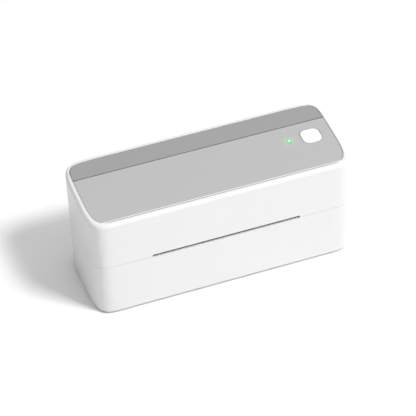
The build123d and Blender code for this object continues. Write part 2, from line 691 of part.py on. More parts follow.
def power_rocker():
    """Two-position rocker, at rest with its upper half pressed in."""
    half = 7.8
    crown = 3.3
    end = crown + half * math.tan(math.radians(ROCKER_TILT))
    points = ((-1.6, -half), (end, -half), (crown, 0.0), (end, half), (-1.6, half), (-3.4, 0.0))
    rocker = bar_x(points, (-5.0, 5.0))
    rocker = fillet(rocker.edges().filter_by(Axis.X), 0.5)
    rocker += rod_x(1.0, (-6.2, 6.2), 0.0, 0.0)
    return Pos(ROCKER_X, ROCKER_Y, ROCKER_Z) * Rot(ROCKER_TILT, 0, 0) * rocker


def switch_terminals():
    y = (ROCKER_Y - 15.0, ROCKER_Y - 9.0)
    return [
        box((ROCKER_X - 2.4, ROCKER_X + 2.4), y, (ROCKER_Z + z - 0.4, ROCKER_Z + z + 0.4))
        for z in (-7.0, 0.0)
    ]


# ================================================================ lid
def upper_shell():
    case_zone = prism(case_outline(0), (SEAM_Z + SEAM_GAP / 2, BIG))
    shell = case_zone & under_top(0)
    shell = fillet(shell.faces().sort_by(Axis.Z)[-1].edges(), RIM_EDGE)
    ledge_top = PANEL_DROP + PANEL_THICK
    shell -= prism(case_outline(WALL), (SEAM_Z - 1.0, BIG)) & under_top(ledge_top + LEDGE_THICK)
    shell -= prism(panel_outline(0), (SEAM_Z, BIG)) - under_top(ledge_top)
    shell -= box((-SLOT_WIDTH / 2, SLOT_WIDTH / 2), (-DEPTH, -DEPTH / 2 + WALL + 1), (0, SEAM_Z + SLOT_HEIGHT))
    shell = cut_all(shell, rear_windows((0, INLET_HIGH)))
    bead_zone = prism(case_outline(0), (0, BIG))
    for span in (LID_KNUCKLE, LID_BEAD):
        bead = rod_x(HINGE_R, span, HINGE_Y, HINGE_Z)
        bead += box(span, (HINGE_Y - 0.5, HINGE_Y + HINGE_R), (HINGE_Z, HINGE_Z + 5.0))
        for side_bead in both_sides(bead & bead_zone):
            shell += side_bead
    posts = [rod_z(3.5, (FRAME_HIGH, top_z(y) - ledge_top - 1.0), x, y) for x, y in LID_SCREWS]
    shell = join_all([shell] + posts)
    cuts = [rod_z(SCREW_R + 0.05, (FRAME_HIGH - 1.0, FRAME_HIGH + 10.0), x, y) for x, y in LID_SCREWS]
    cuts += both_sides(rod_x(PIN_R + RUNNING, (BASE_KNUCKLES[0][0], BASE_KNUCKLES[1][1]), HINGE_Y, HINGE_Z))
    cuts.append(on_top(BUTTON_X, BUTTON_Y) * Pos(0, 0, -3.0) * Box(BUTTON_SIZE + 2.6, BUTTON_SIZE + 2.6, 2.5))
    cuts.append(on_top(LIGHT_X, LIGHT_Y) * Cylinder(LIGHT_R + 0.6, 10.0))
    shell = cut_all(shell, cuts)
    for x, y in SWITCH_BOARD_POSTS:
        post = Cylinder(2.4, -SWITCH_BOARD_Z - 3.0, align=(Align.CENTER, Align.CENTER, Align.MIN))
        post -= Cylinder(SCREW_R + 0.05, 12.0)
        shell += on_top(BUTTON_X + x, BUTTON_Y + y) * Pos(0, 0, SWITCH_BOARD_Z) * post
    return shell


def top_panel(y):
    """Sheet that lies in the rim's recess between two Y values."""
    band = prism(panel_outline(PANEL_GAP), (SEAM_Z, BIG)) & under_top(PANEL_DROP)
    band -= under_top(PANEL_DROP + PANEL_THICK - 0.05)
    return band & box((-BIG, BIG), y, (0, BIG))


def top_panel_front():
    panel = top_panel((-DEPTH, GROOVE_Y - GROOVE_WIDTH / 2))
    opening = RectangleRounded(BUTTON_SIZE + 0.5, BUTTON_SIZE + 0.5, BUTTON_CORNER + 0.25)
    panel -= on_top(BUTTON_X, BUTTON_Y) * Pos(0, 0, -5) * extrude(opening, amount=10)
    return panel - on_top(LIGHT_X, LIGHT_Y) * Cylinder(LIGHT_R + 0.05, 10.0)


def top_panel_rear():
    return top_panel((GROOVE_Y + GROOVE_WIDTH / 2, DEPTH))


def light_pipe():
    """Clear rod that carries the status light from its board up to the panel."""
    pipe = Pos(0, 0, -8.0) * Cylinder(LIGHT_R, 8.0 - PANEL_DROP + 0.1, align=(Align.CENTER, Align.CENTER, Align.MIN))
    pipe += Pos(0, 0, -5.2) * Cylinder(LIGHT_R + 1.2, 1.0)
    return on_top(LIGHT_X, LIGHT_Y) * pipe


def button_cap():
    """White square button with a retaining flange and a stem."""
    low = -(PANEL_DROP + PANEL_THICK) - 0.2
    cap = extrude(RectangleRounded(BUTTON_SIZE, BUTTON_SIZE, BUTTON_CORNER), amount=-low)
    cap = fillet(cap.faces().sort_by(Axis.Z)[-1].edges(), 0.7)
    flange = extrude(RectangleRounded(BUTTON_SIZE + 1.8, BUTTON_SIZE + 1.8, BUTTON_CORNER), amount=-BUTTON_FLANGE)
    body = Pos(0, 0, low) * (cap + flange)
    stem_top = low - BUTTON_FLANGE
    body += Pos(0, 0, (stem_top + BUTTON_STEM_LOW) / 2) * Cylinder(2.0, stem_top - BUTTON_STEM_LOW)
    return on_top(BUTTON_X, BUTTON_Y) * body


def switch_plunger():
    plunger = Pos(0, 0, BUTTON_STEM_LOW - 1.8) * Cylinder(
        1.6, 1.8, align=(Align.CENTER, Align.CENTER, Align.MIN)
    )
    return on_top(BUTTON_X, BUTTON_Y) * plunger


def button_board():
    board = Pos(-8.0, 0, SWITCH_BOARD_Z - BOARD_THICK / 2) * Box(49.0, 14.0, BOARD_THICK)
    for x, y in SWITCH_BOARD_POSTS:
        board -= Pos(x, y, SWITCH_BOARD_Z) * Cylinder(SCREW_R + 0.1, 5.0)
    return on_top(BUTTON_X, BUTTON_Y) * board


def button_board_screws():
    one = Rot(180, 0, 0) * screw(SCREW_R, SCREW_HEAD_R - 0.4, 1.2, 5.0)
    low = SWITCH_BOARD_Z - BOARD_THICK
    return [on_top(BUTTON_X, BUTTON_Y) * Pos(x, y, low) * one for x, y in SWITCH_BOARD_POSTS]


def push_switch():
    low = SWITCH_BOARD_Z
    body = Pos(0, 0, low) * Box(6.2, 6.2, 3.4, align=(Align.CENTER, Align.CENTER, Align.MIN))
    body -= Pos(0, 0, low + 3.4) * Cylinder(1.6 + 0.3, 4.4)
    return on_top(BUTTON_X, BUTTON_Y) * body


def status_led():
    body = Pos(0, 0, SWITCH_BOARD_Z) * Cylinder(1.5, 3.0, align=(Align.CENTER, Align.CENTER, Align.MIN))
    body = fillet(body.faces().sort_by(Axis.Z)[-1].edges(), 1.0)
    return on_top(LIGHT_X, LIGHT_Y) * body


def lid_frame():
    """Ribbed plate inside the lid with two cheeks that carry the print head's pivot."""
    plate = box((-92.0, 92.0), (-31.0, 29.0), (FRAME_LOW, FRAME_HIGH))
    plate = chamfer(plate.edges().filter_by(Axis.Z), 9.0)
    for cheek in both_sides(box((61.5, 63.5), (-12.0, 4.0), (53.5, FRAME_LOW + 0.5))):
        plate += cheek
    for y in (-29.0, 12.0, 26.0):
        plate += box((-76.0, 76.0), (y, y + 1.5), (FRAME_LOW - 3.0, FRAME_LOW + 0.5))
    cuts = [rod_x(PIN_R + SNUG, (-BIG, BIG), HEAD_PIVOT_Y, HEAD_PIVOT_Z)]
    for x, y in LID_SCREWS:
        cuts.append(rod_z(SCREW_R + 0.2, (0, BIG), x, y))
        cuts.append(rod_z(SCREW_HEAD_R + 0.4, (0, FRAME_LOW), x, y))
    for x, y in GUIDE_POSTS:
        cuts.append(rod_z(2.0 + SNUG, (0, BIG), x, y))
        cuts.append(rod_z(3.3, (0, FRAME_LOW), x, y))
    for x in SPRING_X:
        cuts.append(rod_z(SCREW_R + 0.05, (0, BIG), x, SPRING_SCREW_Y))
    return cut_all(plate, cuts)


def lid_screws():
    one = Rot(180, 0, 0) * screw(SCREW_R, SCREW_HEAD_R, SCREW_HEAD, 10.0)
    return [Pos(x, y, FRAME_LOW) * one for x, y in LID_SCREWS]


def upper_paper_guide():
    """Smooth plate over the media path, hung from the lid's frame on four posts."""
    plate = box((-62.0, 62.0), (-8.6, 30.5), (50.6, 52.1))
    plate = fillet(plate.edges().filter_by(Axis.X).group_by(Axis.Z)[0], 0.7)
    for x, y in GUIDE_POSTS:
        plate += rod_z(3.0, (51.5, FRAME_LOW), x, y)
        plate += rod_z(2.0, (51.5, FRAME_HIGH), x, y)
    for rib in range(-5, 6):
        plate += box((rib * 11.0 - 0.5, rib * 11.0 + 0.5), (-6.0, 28.0), (51.6, 54.0))
    return plate


def snap_hook(side):
    """Springy plastic hook that hangs from the lid's frame and catches the pin."""
    stem = CATCH_Y - PIN_R - 0.8
    points = (
        (stem - 3.0, FRAME_LOW), (stem - 3.0, CATCH_Z - 5.0), (stem - 0.6, CATCH_Z - 6.2),
        (CATCH_Y - 0.1, CATCH_Z - 3.6), (CATCH_Y - 0.1, CATCH_Z - 2.6), (stem, CATCH_Z - 2.1),
        (stem, FRAME_LOW - 4.0), (stem + 4.0, FRAME_LOW),
    )
    hook = bar_x(points, (CATCH_X - 2.5, CATCH_X + 2.5))
    return hook if side > 0 else mirror(hook, about=Plane.YZ)


# ================================================================ print head
def heat_sink():
    """Finned aluminium body of the print head."""
    block = box((-56.0, 56.0), (-33.0, -13.0), (HEAD_BOTTOM + 0.9, 50.2))
    for fin in range(7):
        y = -32.4 + fin * 3.0
        block += box((-56.0, 56.0), (y, y + 1.4), (50.0, 53.2))
    return block


def head_ceramic():
    return box((-55.0, 55.0), (-31.0, -19.2), (HEAD_BOTTOM, HEAD_BOTTOM + 0.85))


def driver_cover():
    cover = box((-50.0, 50.0), (-18.8, -13.2), (HEAD_BOTTOM - 0.4, HEAD_BOTTOM + 0.85))
    return chamfer(cover.edges().filter_by(Axis.X).group_by(Axis.Z)[0], 0.5)


def head_bracket():
    """Pressed steel carrier of the head, with an ear round the pivot at each end."""
    carrier = box((-60.7, 60.7), (-33.5, -6.0), (53.25, 54.45))
    for ear in both_sides(box((59.5, 60.7), (HEAD_PIVOT_Y - 4.0, HEAD_PIVOT_Y + 3.0), (53.25, 61.0))):
        carrier += ear
    for x in (-44.0, -15.0, 15.0, 44.0):
        carrier -= box((x - 6.0, x + 6.0), (-18.0, -12.0), (50.0, 60.0))
    for x in (-50.0, 50.0):
        carrier -= rod_z(SCREW_R + 0.05, (50, 60), x, -27.0)
    return carrier - rod_x(PIN_R + RUNNING, (-BIG, BIG), HEAD_PIVOT_Y, HEAD_PIVOT_Z)


def head_screws():
    one = screw(SCREW_R, SCREW_HEAD_R, 1.3, 1.1)
    return [Pos(x, -27.0, 54.45) * one for x in (-50.0, 50.0)]


def head_connector():
    body = box((-15.0, 15.0), (-12.95, -9.6), (47.6, 53.2))
    return body - box((-13.8, 13.8), (-11.8, -9.0), (49.0, 52.0))


def head_pivot_shaft():
    return rod_x(PIN_R, (-64.3, 64.3), HEAD_PIVOT_Y, HEAD_PIVOT_Z)


def head_springs():
    """Leaf springs that press the head down on the platen."""
    path = ((-5.0, FRAME_LOW), (-12.0, FRAME_LOW), (-24.5, 55.1), (-27.5, 55.9))
    thick = 0.45
    points = list(path) + [(y, z - thick) for y, z in reversed(path)]
    strips = []
    for x in SPRING_X:
        strip = bar_x(points, (x - 5.0, x + 5.0))
        strips.append(strip - rod_z(SCREW_R + 0.05, (50, 70), x, SPRING_SCREW_Y))
    return strips


def spring_screws():
    one = Rot(180, 0, 0) * screw(SCREW_R, SCREW_HEAD_R - 0.3, 1.2, 2.2)
    return [Pos(x, SPRING_SCREW_Y, FRAME_LOW - 0.45) * one for x in SPRING_X]


# ================================================================ output
PARTS = {
    "lower_shell": lower_shell,
    "rubber_feet": rubber_feet,
    "hinge_pins": hinge_pins,
    "catch_pins": catch_pins,
    "chassis_screws": chassis_screws,
    "left_side_plate": lambda: side_plate(-1),
    "right_side_plate": lambda: side_plate(1),
    "left_platen_bush": lambda: platen_bush(-1),
    "right_platen_bush": lambda: platen_bush(1),
    "paper_deck": paper_deck,
    "deck_screws": deck_screws,
    "front_paper_guide": front_paper_guide,
    "tear_bar": tear_bar,
    "media_sensor": media_sensor,
    "pinion_post": pinion_post,
    "stepper_motor": stepper_motor,
    "motor_screws": motor_screws,
    "idler_post": idler_post,
    "main_board": main_board,
    "board_screws": board_screws,
    "board_chips": board_chips,
    "board_capacitors": board_capacitors,
    "power_inductor": power_inductor,
    "board_headers": board_headers,
    "usb_port": usb_port,
    "usb_tongue": usb_tongue,
    "dc_jack": dc_jack,
    "dc_jack_pin": dc_jack_pin,
    "switch_housing": switch_housing,
    "switch_terminals": switch_terminals,
    "power_rocker": power_rocker,
    "platen_shaft": platen_shaft,
    "platen_rubber": platen_rubber,
    "platen_gear": platen_gear,
    "idler_gear": idler_gear,
    "motor_pinion": motor_pinion,
    "motor_shaft": motor_shaft,
    "left_guide": left_guide,
    "right_guide": right_guide,
    "guide_pinion": guide_pinion,
    "upper_shell": upper_shell,
    "top_panel_front": top_panel_front,
    "top_panel_rear": top_panel_rear,
    "light_pipe": light_pipe,
    "button_cap": button_cap,
    "switch_plunger": switch_plunger,
    "button_board": button_board,
    "push_switch": push_switch,
    "status_led": status_led,
    "lid_frame": lid_frame,
    "lid_screws": lambda: lid_screws() + spring_screws() + button_board_screws(),
    "upper_paper_guide": upper_paper_guide,
    "left_snap_hook": lambda: snap_hook(-1),
    "right_snap_hook": lambda: snap_hook(1),
    "print_head": lambda: [heat_sink(), head_ceramic(), driver_cover()],
    "head_bracket": head_bracket,
    "head_screws": head_screws,
    "head_connector": head_connector,
    "head_pivot_shaft": head_pivot_shaft,
    "head_springs": head_springs,
}

os.makedirs("parts", exist_ok=True)
for name, make in PARTS.items():
    made = make()
    shape = Compound(children=made) if isinstance(made, list) else made
    export_step(shape, "parts/" + name + ".step")
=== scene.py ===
import json
import math

import bmesh
import bpy
from mathutils import Matrix, Vector


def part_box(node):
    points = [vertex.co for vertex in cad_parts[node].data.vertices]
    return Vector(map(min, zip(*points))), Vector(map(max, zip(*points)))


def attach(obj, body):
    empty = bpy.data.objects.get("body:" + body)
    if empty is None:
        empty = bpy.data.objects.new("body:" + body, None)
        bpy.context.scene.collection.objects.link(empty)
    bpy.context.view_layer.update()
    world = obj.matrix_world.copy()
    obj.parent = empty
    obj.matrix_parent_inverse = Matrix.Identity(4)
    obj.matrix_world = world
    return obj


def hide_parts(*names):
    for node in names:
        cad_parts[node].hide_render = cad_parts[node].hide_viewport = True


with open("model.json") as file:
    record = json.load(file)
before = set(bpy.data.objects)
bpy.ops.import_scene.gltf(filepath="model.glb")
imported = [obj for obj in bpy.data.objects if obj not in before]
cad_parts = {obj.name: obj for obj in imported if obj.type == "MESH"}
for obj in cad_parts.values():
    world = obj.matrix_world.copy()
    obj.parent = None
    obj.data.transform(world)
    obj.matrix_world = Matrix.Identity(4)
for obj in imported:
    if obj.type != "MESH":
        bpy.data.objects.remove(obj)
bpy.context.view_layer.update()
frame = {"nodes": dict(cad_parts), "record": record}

# ---------------------------------------------------------------- studio
# The printer stands on a plain white sweep, under one soft lamp to the right
# of its front, in a pale room that is brightest overhead.
studio = bpy.context.scene
studio.view_settings.view_transform = "Standard"

sweep_reach = 6.0
sweep_mesh = bpy.data.meshes.new("sweep")
sweep_mesh.from_pydata(
    [(x * sweep_reach, y * sweep_reach, 0) for x, y in ((-1, -1), (1, -1), (1, 1), (-1, 1))],
    [], [(0, 1, 2, 3)],
)
sweep = bpy.data.objects.new("sweep", sweep_mesh)
studio.collection.objects.link(sweep)


def wire(source, into):
    """A link between two sockets of one tree."""
    into.id_data.links.new(source, into)


sweep_paper = bpy.data.materials.new("sweep_paper")
sweep_paper.use_nodes = True
paper_nodes = sweep_paper.node_tree.nodes
paper_shader = paper_nodes["Principled BSDF"]
paper_shader.inputs["Roughness"].default_value = 0.9
paper_shader.inputs["Specular IOR Level"].default_value = 0.1
paper_mottle = paper_nodes.new("ShaderNodeTexNoise")
paper_mottle.inputs["Scale"].default_value = 3.0
paper_tone = paper_nodes.new("ShaderNodeValToRGB")
paper_tone.color_ramp.elements[0].color = (0.96, 0.96, 0.96, 1)
paper_tone.color_ramp.elements[1].color = (0.98, 0.98, 0.98, 1)
wire(paper_mottle.outputs["Fac"], paper_tone.inputs["Fac"])
wire(paper_tone.outputs["Color"], paper_shader.inputs["Base Color"])
sweep_mesh.materials.append(sweep_paper)

room_level = 0.2
room_slope = (0.2, 0, 0.6)
room = bpy.data.worlds.new("pale_room")
room.use_nodes = True
room.node_tree.nodes["Background"].inputs["Color"].default_value = (1, 1, 1, 1)
room_nodes = room.node_tree.nodes
room_way = room_nodes.new("ShaderNodeTexCoord")
room_rise = room_nodes.new("ShaderNodeVectorMath")
room_rise.operation = "DOT_PRODUCT"
room_rise.inputs[1].default_value = room_slope
room_glow = room_nodes.new("ShaderNodeMath")
room_glow.inputs[1].default_value = room_level
wire(room_way.outputs["Generated"], room_rise.inputs[0])
wire(room_rise.outputs["Value"], room_glow.inputs[0])
wire(room_glow.outputs["Value"], room_nodes["Background"].inputs["Strength"])
studio.world = room


def soft_lamp(name, place, aim, size, watts):
    light = bpy.data.lights.new(name, "AREA")
    light.shape = "RECTANGLE"
    light.size, light.size_y = size
    light.energy = watts
    lamp = bpy.data.objects.new(name, light)
    lamp.location = place
    lamp.rotation_euler = (Vector(aim) - Vector(place)).to_track_quat("-Z", "Y").to_euler()
    studio.collection.objects.link(lamp)


soft_lamp("key_lamp", place=(1.35, -1.55, 2.83), aim=(0, 0, 0.05), size=(0.7, 0.7), watts=78)

view_azimuth = math.radians(-18.386)
view_elevation = math.radians(40.567)
view_roll = math.radians(-2.64)
view_distance = 1.664
view_aim = Vector((0.00576, 0.02078, 0.02515))
toward_camera = Vector((
    math.sin(view_azimuth) * math.cos(view_elevation),
    -math.cos(view_azimuth) * math.cos(view_elevation),
    math.sin(view_elevation),
))
lens = bpy.data.cameras.new("studio_camera")
lens.lens = 186.3
lens.sensor_width = 36.0
lens.clip_start = 0.05
camera = bpy.data.objects.new("studio_camera", lens)
camera.location = view_aim + toward_camera * view_distance
camera_turn = toward_camera.to_track_quat("Z", "Y").to_matrix().to_4x4()
camera.rotation_euler = (camera_turn @ Matrix.Rotation(view_roll, 4, "Z")).to_euler()
studio.collection.objects.link(camera)
studio.camera = camera


# ---------------------------------------------------------------- lower shell
# Injection-moulded tub in white ABS, the lower half of the case. Its skin has
# a very fine spark-eroded grain, and a painted highlight lightens its edges a little.
def shader_group(name, inputs, outputs):
    tree = bpy.data.node_groups.new(name, "ShaderNodeTree")
    for label, kind, value in inputs:
        tree.interface.new_socket(label, in_out="INPUT", socket_type=kind).default_value = value
    for label, kind in outputs:
        tree.interface.new_socket(label, in_out="OUTPUT", socket_type=kind)
    return tree, tree.nodes.new("NodeGroupInput"), tree.nodes.new("NodeGroupOutput")


def put(tree, kind, **settings):
    """A new node in the tree; a setting is a property, or an input given by its name."""
    node = tree.nodes.new(kind)
    for key, value in settings.items():
        label = key.replace("_", " ").title()
        if hasattr(node, key):
            setattr(node, key, value)
        else:
            node.inputs[label].default_value = value
    return node


# Surface grain: fine noise for relief and a slow mottle that tones and dulls.
grain, grain_in, grain_out = shader_group(
    "surface_grain",
    [("Grains per metre", "NodeSocketFloat", 4000.0), ("Mottle per metre", "NodeSocketFloat", 30.0),
     ("Stretch", "NodeSocketVector", (1, 1, 1))],
    [("Height", "NodeSocketFloat"), ("Mottle", "NodeSocketFloat")],
)
grain_place = put(grain, "ShaderNodeTexCoord")
grain_stretch = put(grain, "ShaderNodeVectorMath", operation="MULTIPLY")
grain_fine = put(grain, "ShaderNodeTexNoise", detail=2.0)
grain_slow = put(grain, "ShaderNodeTexNoise", detail=4.0)
wire(grain_place.outputs["Object"], grain_stretch.inputs[0])
wire(grain_in.outputs["Stretch"], grain_stretch.inputs[1])
for noise, count, result in (
    (grain_fine, "Grains per metre", "Height"), (grain_slow, "Mottle per metre", "Mottle"),
):
    wire(grain_stretch.outputs["Vector"], noise.inputs["Vector"])
    wire(grain_in.outputs[count], noise.inputs["Scale"])
    wire(noise.outputs["Fac"], grain_out.inputs[result])

# Edge mask: how far the rounded-off normal leaves the true one, broken up by noise.
# The finishes tint their edges with it; on the white shell that is a painted highlight,
# and round the grey panels it lays a painted gap shadow.
edge_mask_tree, edge_mask_in, edge_mask_out = shader_group(
    "edge_mask",
    [("Width", "NodeSocketFloat", 0.0005), ("Gain", "NodeSocketFloat", 6.0)],
    [("Mask", "NodeSocketFloat")],
)
edge_round = put(edge_mask_tree, "ShaderNodeBevel", samples=4)
edge_true = put(edge_mask_tree, "ShaderNodeNewGeometry")
edge_dot = put(edge_mask_tree, "ShaderNodeVectorMath", operation="DOT_PRODUCT")
edge_less = put(edge_mask_tree, "ShaderNodeMath", operation="SUBTRACT")
edge_less.inputs[0].default_value = 1.0
edge_gain = put(edge_mask_tree, "ShaderNodeMath", operation="MULTIPLY", use_clamp=True)
edge_place = put(edge_mask_tree, "ShaderNodeTexCoord")
edge_patches = put(edge_mask_tree, "ShaderNodeTexNoise", scale=600.0, detail=3.0)
edge_broken = put(edge_mask_tree, "ShaderNodeMath", operation="MULTIPLY", use_clamp=True)
wire(edge_mask_in.outputs["Width"], edge_round.inputs["Radius"])
wire(edge_round.outputs["Normal"], edge_dot.inputs[0])
wire(edge_true.outputs["Normal"], edge_dot.inputs[1])
wire(edge_dot.outputs["Value"], edge_less.inputs[1])
wire(edge_less.outputs["Value"], edge_gain.inputs[0])
wire(edge_mask_in.outputs["Gain"], edge_gain.inputs[1])
wire(edge_place.outputs["Object"], edge_patches.inputs["Vector"])
wire(edge_gain.outputs["Value"], edge_broken.inputs[0])
wire(edge_patches.outputs["Fac"], edge_broken.inputs[1])
wire(edge_broken.outputs["Value"], edge_mask_out.inputs["Mask"])


def finish(name, colour, shade=0.93, roughness=0.4, spread=0.08, grains=4000.0, depth=0.00001,
           mottle=30.0, stretch=(1, 1, 1), metal=0.0, edge=None, edge_width=0.0005):
    """A finish: a colour with a slow mottle, grain in relief, and edges tinted another colour (on the white
    shell, a painted highlight).
    """
    skin = bpy.data.materials.new(name)
    skin.use_nodes = True
    tree = skin.node_tree
    shader = tree.nodes["Principled BSDF"]
    shader.inputs["Metallic"].default_value = metal
    relief = put(tree, "ShaderNodeGroup", node_tree=grain)
    relief.inputs["Grains per metre"].default_value = grains
    relief.inputs["Mottle per metre"].default_value = mottle
    relief.inputs["Stretch"].default_value = stretch
    tone = put(tree, "ShaderNodeMix", data_type="RGBA")
    tone.inputs[6].default_value = (*[c * shade for c in colour], 1)
    tone.inputs[7].default_value = (*colour, 1)
    wire(relief.outputs["Mottle"], tone.inputs[0])
    dull = put(tree, "ShaderNodeMapRange")
    dull.inputs["From Min"].default_value = 0.3
    dull.inputs["From Max"].default_value = 0.7
    dull.inputs["To Min"].default_value = roughness - spread
    dull.inputs["To Max"].default_value = roughness + spread
    wire(relief.outputs["Mottle"], dull.inputs["Value"])
    wire(dull.outputs["Result"], shader.inputs["Roughness"])
    colour_out = tone.outputs[2]
    # Edges mixed towards the edge colour; on the white shell this is a painted highlight.
    if edge is not None:
        edge_marked = put(tree, "ShaderNodeGroup", node_tree=edge_mask_tree)
        edge_marked.inputs["Width"].default_value = edge_width
        edge_toned = put(tree, "ShaderNodeMix", data_type="RGBA")
        edge_toned.inputs[7].default_value = (*edge, 1)
        wire(edge_marked.outputs["Mask"], edge_toned.inputs[0])
        wire(colour_out, edge_toned.inputs[6])
        colour_out = edge_toned.outputs[2]
    wire(colour_out, shader.inputs["Base Color"])
    bump = put(tree, "ShaderNodeBump")
    bump.inputs["Distance"].default_value = depth
    wire(relief.outputs["Height"], bump.inputs["Height"])
    wire(bump.outputs["Normal"], shader.inputs["Normal"])
    return skin


body_of = {node: body for body, nodes in frame["record"]["behaviour"]["bodies"].items() for node in nodes}
crease = math.radians(28)


def shade(mesh):
    """Smooth over curves, sharp over creases."""
    for face in mesh.polygons:
        face.use_smooth = True
    mesh.set_sharp_from_angle(angle=crease)


def settle(piece, body, slot, *nodes):
    """Even normals, a body to ride on and the nodes it stands for; the slot is not used."""
    even = piece.modifiers.new("even_normals", "WEIGHTED_NORMAL")
    even.keep_sharp = True
    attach(piece, body)
    if nodes:
        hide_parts(*nodes)
    return piece


def smooth_copy(node, name, skin, slot):
    """The CAD node's shape with its facets merged and its curves shaded smooth."""
    mesh = frame["nodes"][node].data.copy()
    mesh.name = name
    work = bmesh.new()
    work.from_mesh(mesh)
    bmesh.ops.remove_doubles(work, verts=work.verts, dist=1e-6)
    bmesh.ops.dissolve_limit(work, angle_limit=math.radians(0.2), verts=work.verts, edges=work.edges)
    work.to_mesh(mesh)
    work.free()
    mesh.materials.clear()
    mesh.materials.append(skin)
    shade(mesh)
    piece = bpy.data.objects.new(name, mesh)
    studio.collection.objects.link(piece)
    return settle(piece, body_of[node], slot, node)


# The lighter edge colour of the white ABS is a painted highlight along the rims and creases.
white_abs = finish("white_abs", (0.82, 0.82, 0.817), shade=0.985, roughness=0.34, spread=0.03,
                   grains=2500, depth=0.000004, edge=(0.92, 0.92, 0.92), edge_width=0.0005)
smooth_copy("lower_shell", "case_tub", white_abs, "white_shell")

# ---------------------------------------------------------------- feet
# Four round pads of black rubber, pressed into recesses under the tub.
foot_rubber = finish("foot_rubber", (0.03, 0.03, 0.03), roughness=0.8, grains=3000, depth=0.00004,
                     edge=(0.07, 0.07, 0.07))
smooth_copy("rubber_feet", "foot_pads", foot_rubber, "rubber_foot")

# ---------------------------------------------------------------- side plates
# Two bent plates of zinc-plated steel, screwed to the tub's floor. Each holds
# a flanged acetal bush for the platen's shaft.
zinc_plate = finish("zinc_plate", (0.66, 0.67, 0.68), shade=0.8, roughness=0.4, spread=0.12, metal=1.0,
                    grains=1500, mottle=120, stretch=(1, 1, 0.15), depth=0.000006, edge=(0.85, 0.85, 0.86))
acetal = finish("acetal", (0.8, 0.78, 0.7), shade=0.95, roughness=0.45, grains=3000, edge=(0.88, 0.87, 0.8))
for side in ("left", "right"):
    smooth_copy(side + "_side_plate", side + "_cheek_plate", zinc_plate, "steel_plate")
    smooth_copy(side + "_platen_bush", side + "_shaft_bush", acetal, "acetal")

# ---------------------------------------------------------------- platen
# Ground black silicone roller, bonded to a steel shaft that turns in the bushes.
roller_rubber = finish("roller_rubber", (0.055, 0.055, 0.06), shade=0.75, roughness=0.6, grains=2500,
                       mottle=200, stretch=(3, 0.3, 0.3), depth=0.00002, edge=(0.1, 0.1, 0.1))
bright_steel = finish("bright_steel", (0.72, 0.72, 0.73), shade=0.9, roughness=0.22, spread=0.04, metal=1.0,
                      grains=3000, stretch=(4, 1, 1), depth=0.000003, edge=(0.9, 0.9, 0.9))
smooth_copy("platen_shaft", "roller_shaft", bright_steel, "steel_pin")


def geometry_tree(name, inputs):
    tree = bpy.data.node_groups.new(name, "GeometryNodeTree")
    tree.interface.new_socket("Geometry", in_out="INPUT", socket_type="NodeSocketGeometry")
    for label, kind in inputs:
        tree.interface.new_socket(label, in_out="INPUT", socket_type=kind)
    tree.interface.new_socket("Geometry", in_out="OUTPUT", socket_type="NodeSocketGeometry")
    return tree, tree.nodes.new("NodeGroupInput"), tree.nodes.new("NodeGroupOutput")


def sums(tree, operation, *values):
    """A Math node; each value is a number or another node's output."""
    node = put(tree, "ShaderNodeMath", operation=operation)
    for socket, value in zip(node.inputs, values):
        if isinstance(value, (int, float)):
            socket.default_value = value
        else:
            wire(value, socket)
    return node.outputs[0]


def close_tree(tree, geometry, entry, result):
    """Every tree ends in real mesh with its material."""
    real = put(tree, "GeometryNodeRealizeInstances")
    paint = put(tree, "GeometryNodeSetMaterial")
    wire(geometry, real.inputs["Geometry"])
    wire(real.outputs["Geometry"], paint.inputs["Geometry"])
    wire(entry.outputs["Material"], paint.inputs["Material"])
    wire(paint.outputs["Geometry"], result.inputs["Geometry"])


def grow(tree, name, sizes, body, slot, nodes=(), start=None):
    """Runs a tree with these sizes and keeps what it makes as a plain mesh."""
    piece = bpy.data.objects.new(name, start or bpy.data.meshes.new(name))
    studio.collection.objects.link(piece)
    growth = piece.modifiers.new("growth", "NODES")
    growth.node_group = tree
    for item in tree.interface.items_tree:
        if item.in_out == "INPUT" and item.name in sizes:
            growth[item.identifier] = sizes[item.name]
    piece.update_tag()
    graph = bpy.context.evaluated_depsgraph_get()
    mesh = bpy.data.meshes.new_from_object(piece.evaluated_get(graph), depsgraph=graph)
    piece.modifiers.remove(growth)
    piece.data = mesh
    mesh.name = name
    shade(mesh)
    return settle(piece, body, slot, *nodes)


# The roller is turned from seven stations round its section: up one end face,
# over its two ground chamfers and back down the bore.
turn_tree, turn_in, turn_out = geometry_tree("turned_roller", [
    ("Radius", "NodeSocketFloat"), ("Bore radius", "NodeSocketFloat"), ("Length", "NodeSocketFloat"),
    ("Chamfer", "NodeSocketFloat"), ("Centre", "NodeSocketVector"), ("Material", "NodeSocketMaterial"),
])
turn_sides = 96
turn_stations = 7
turn_sheet = put(turn_tree, "GeometryNodeMeshGrid")
turn_sheet.inputs["Vertices X"].default_value = turn_sides + 1
turn_sheet.inputs["Vertices Y"].default_value = turn_stations
turn_index = put(turn_tree, "GeometryNodeInputIndex").outputs["Index"]
turn_station = sums(turn_tree, "MODULO", turn_index, float(turn_stations))
turn_column = sums(turn_tree, "FLOOR", sums(turn_tree, "DIVIDE", turn_index, float(turn_stations)))
turn_angle = sums(turn_tree, "MULTIPLY", turn_column, 2 * math.pi / turn_sides)


def near_station(station, reach):
    return sums(turn_tree, "COMPARE", turn_station, station, reach)


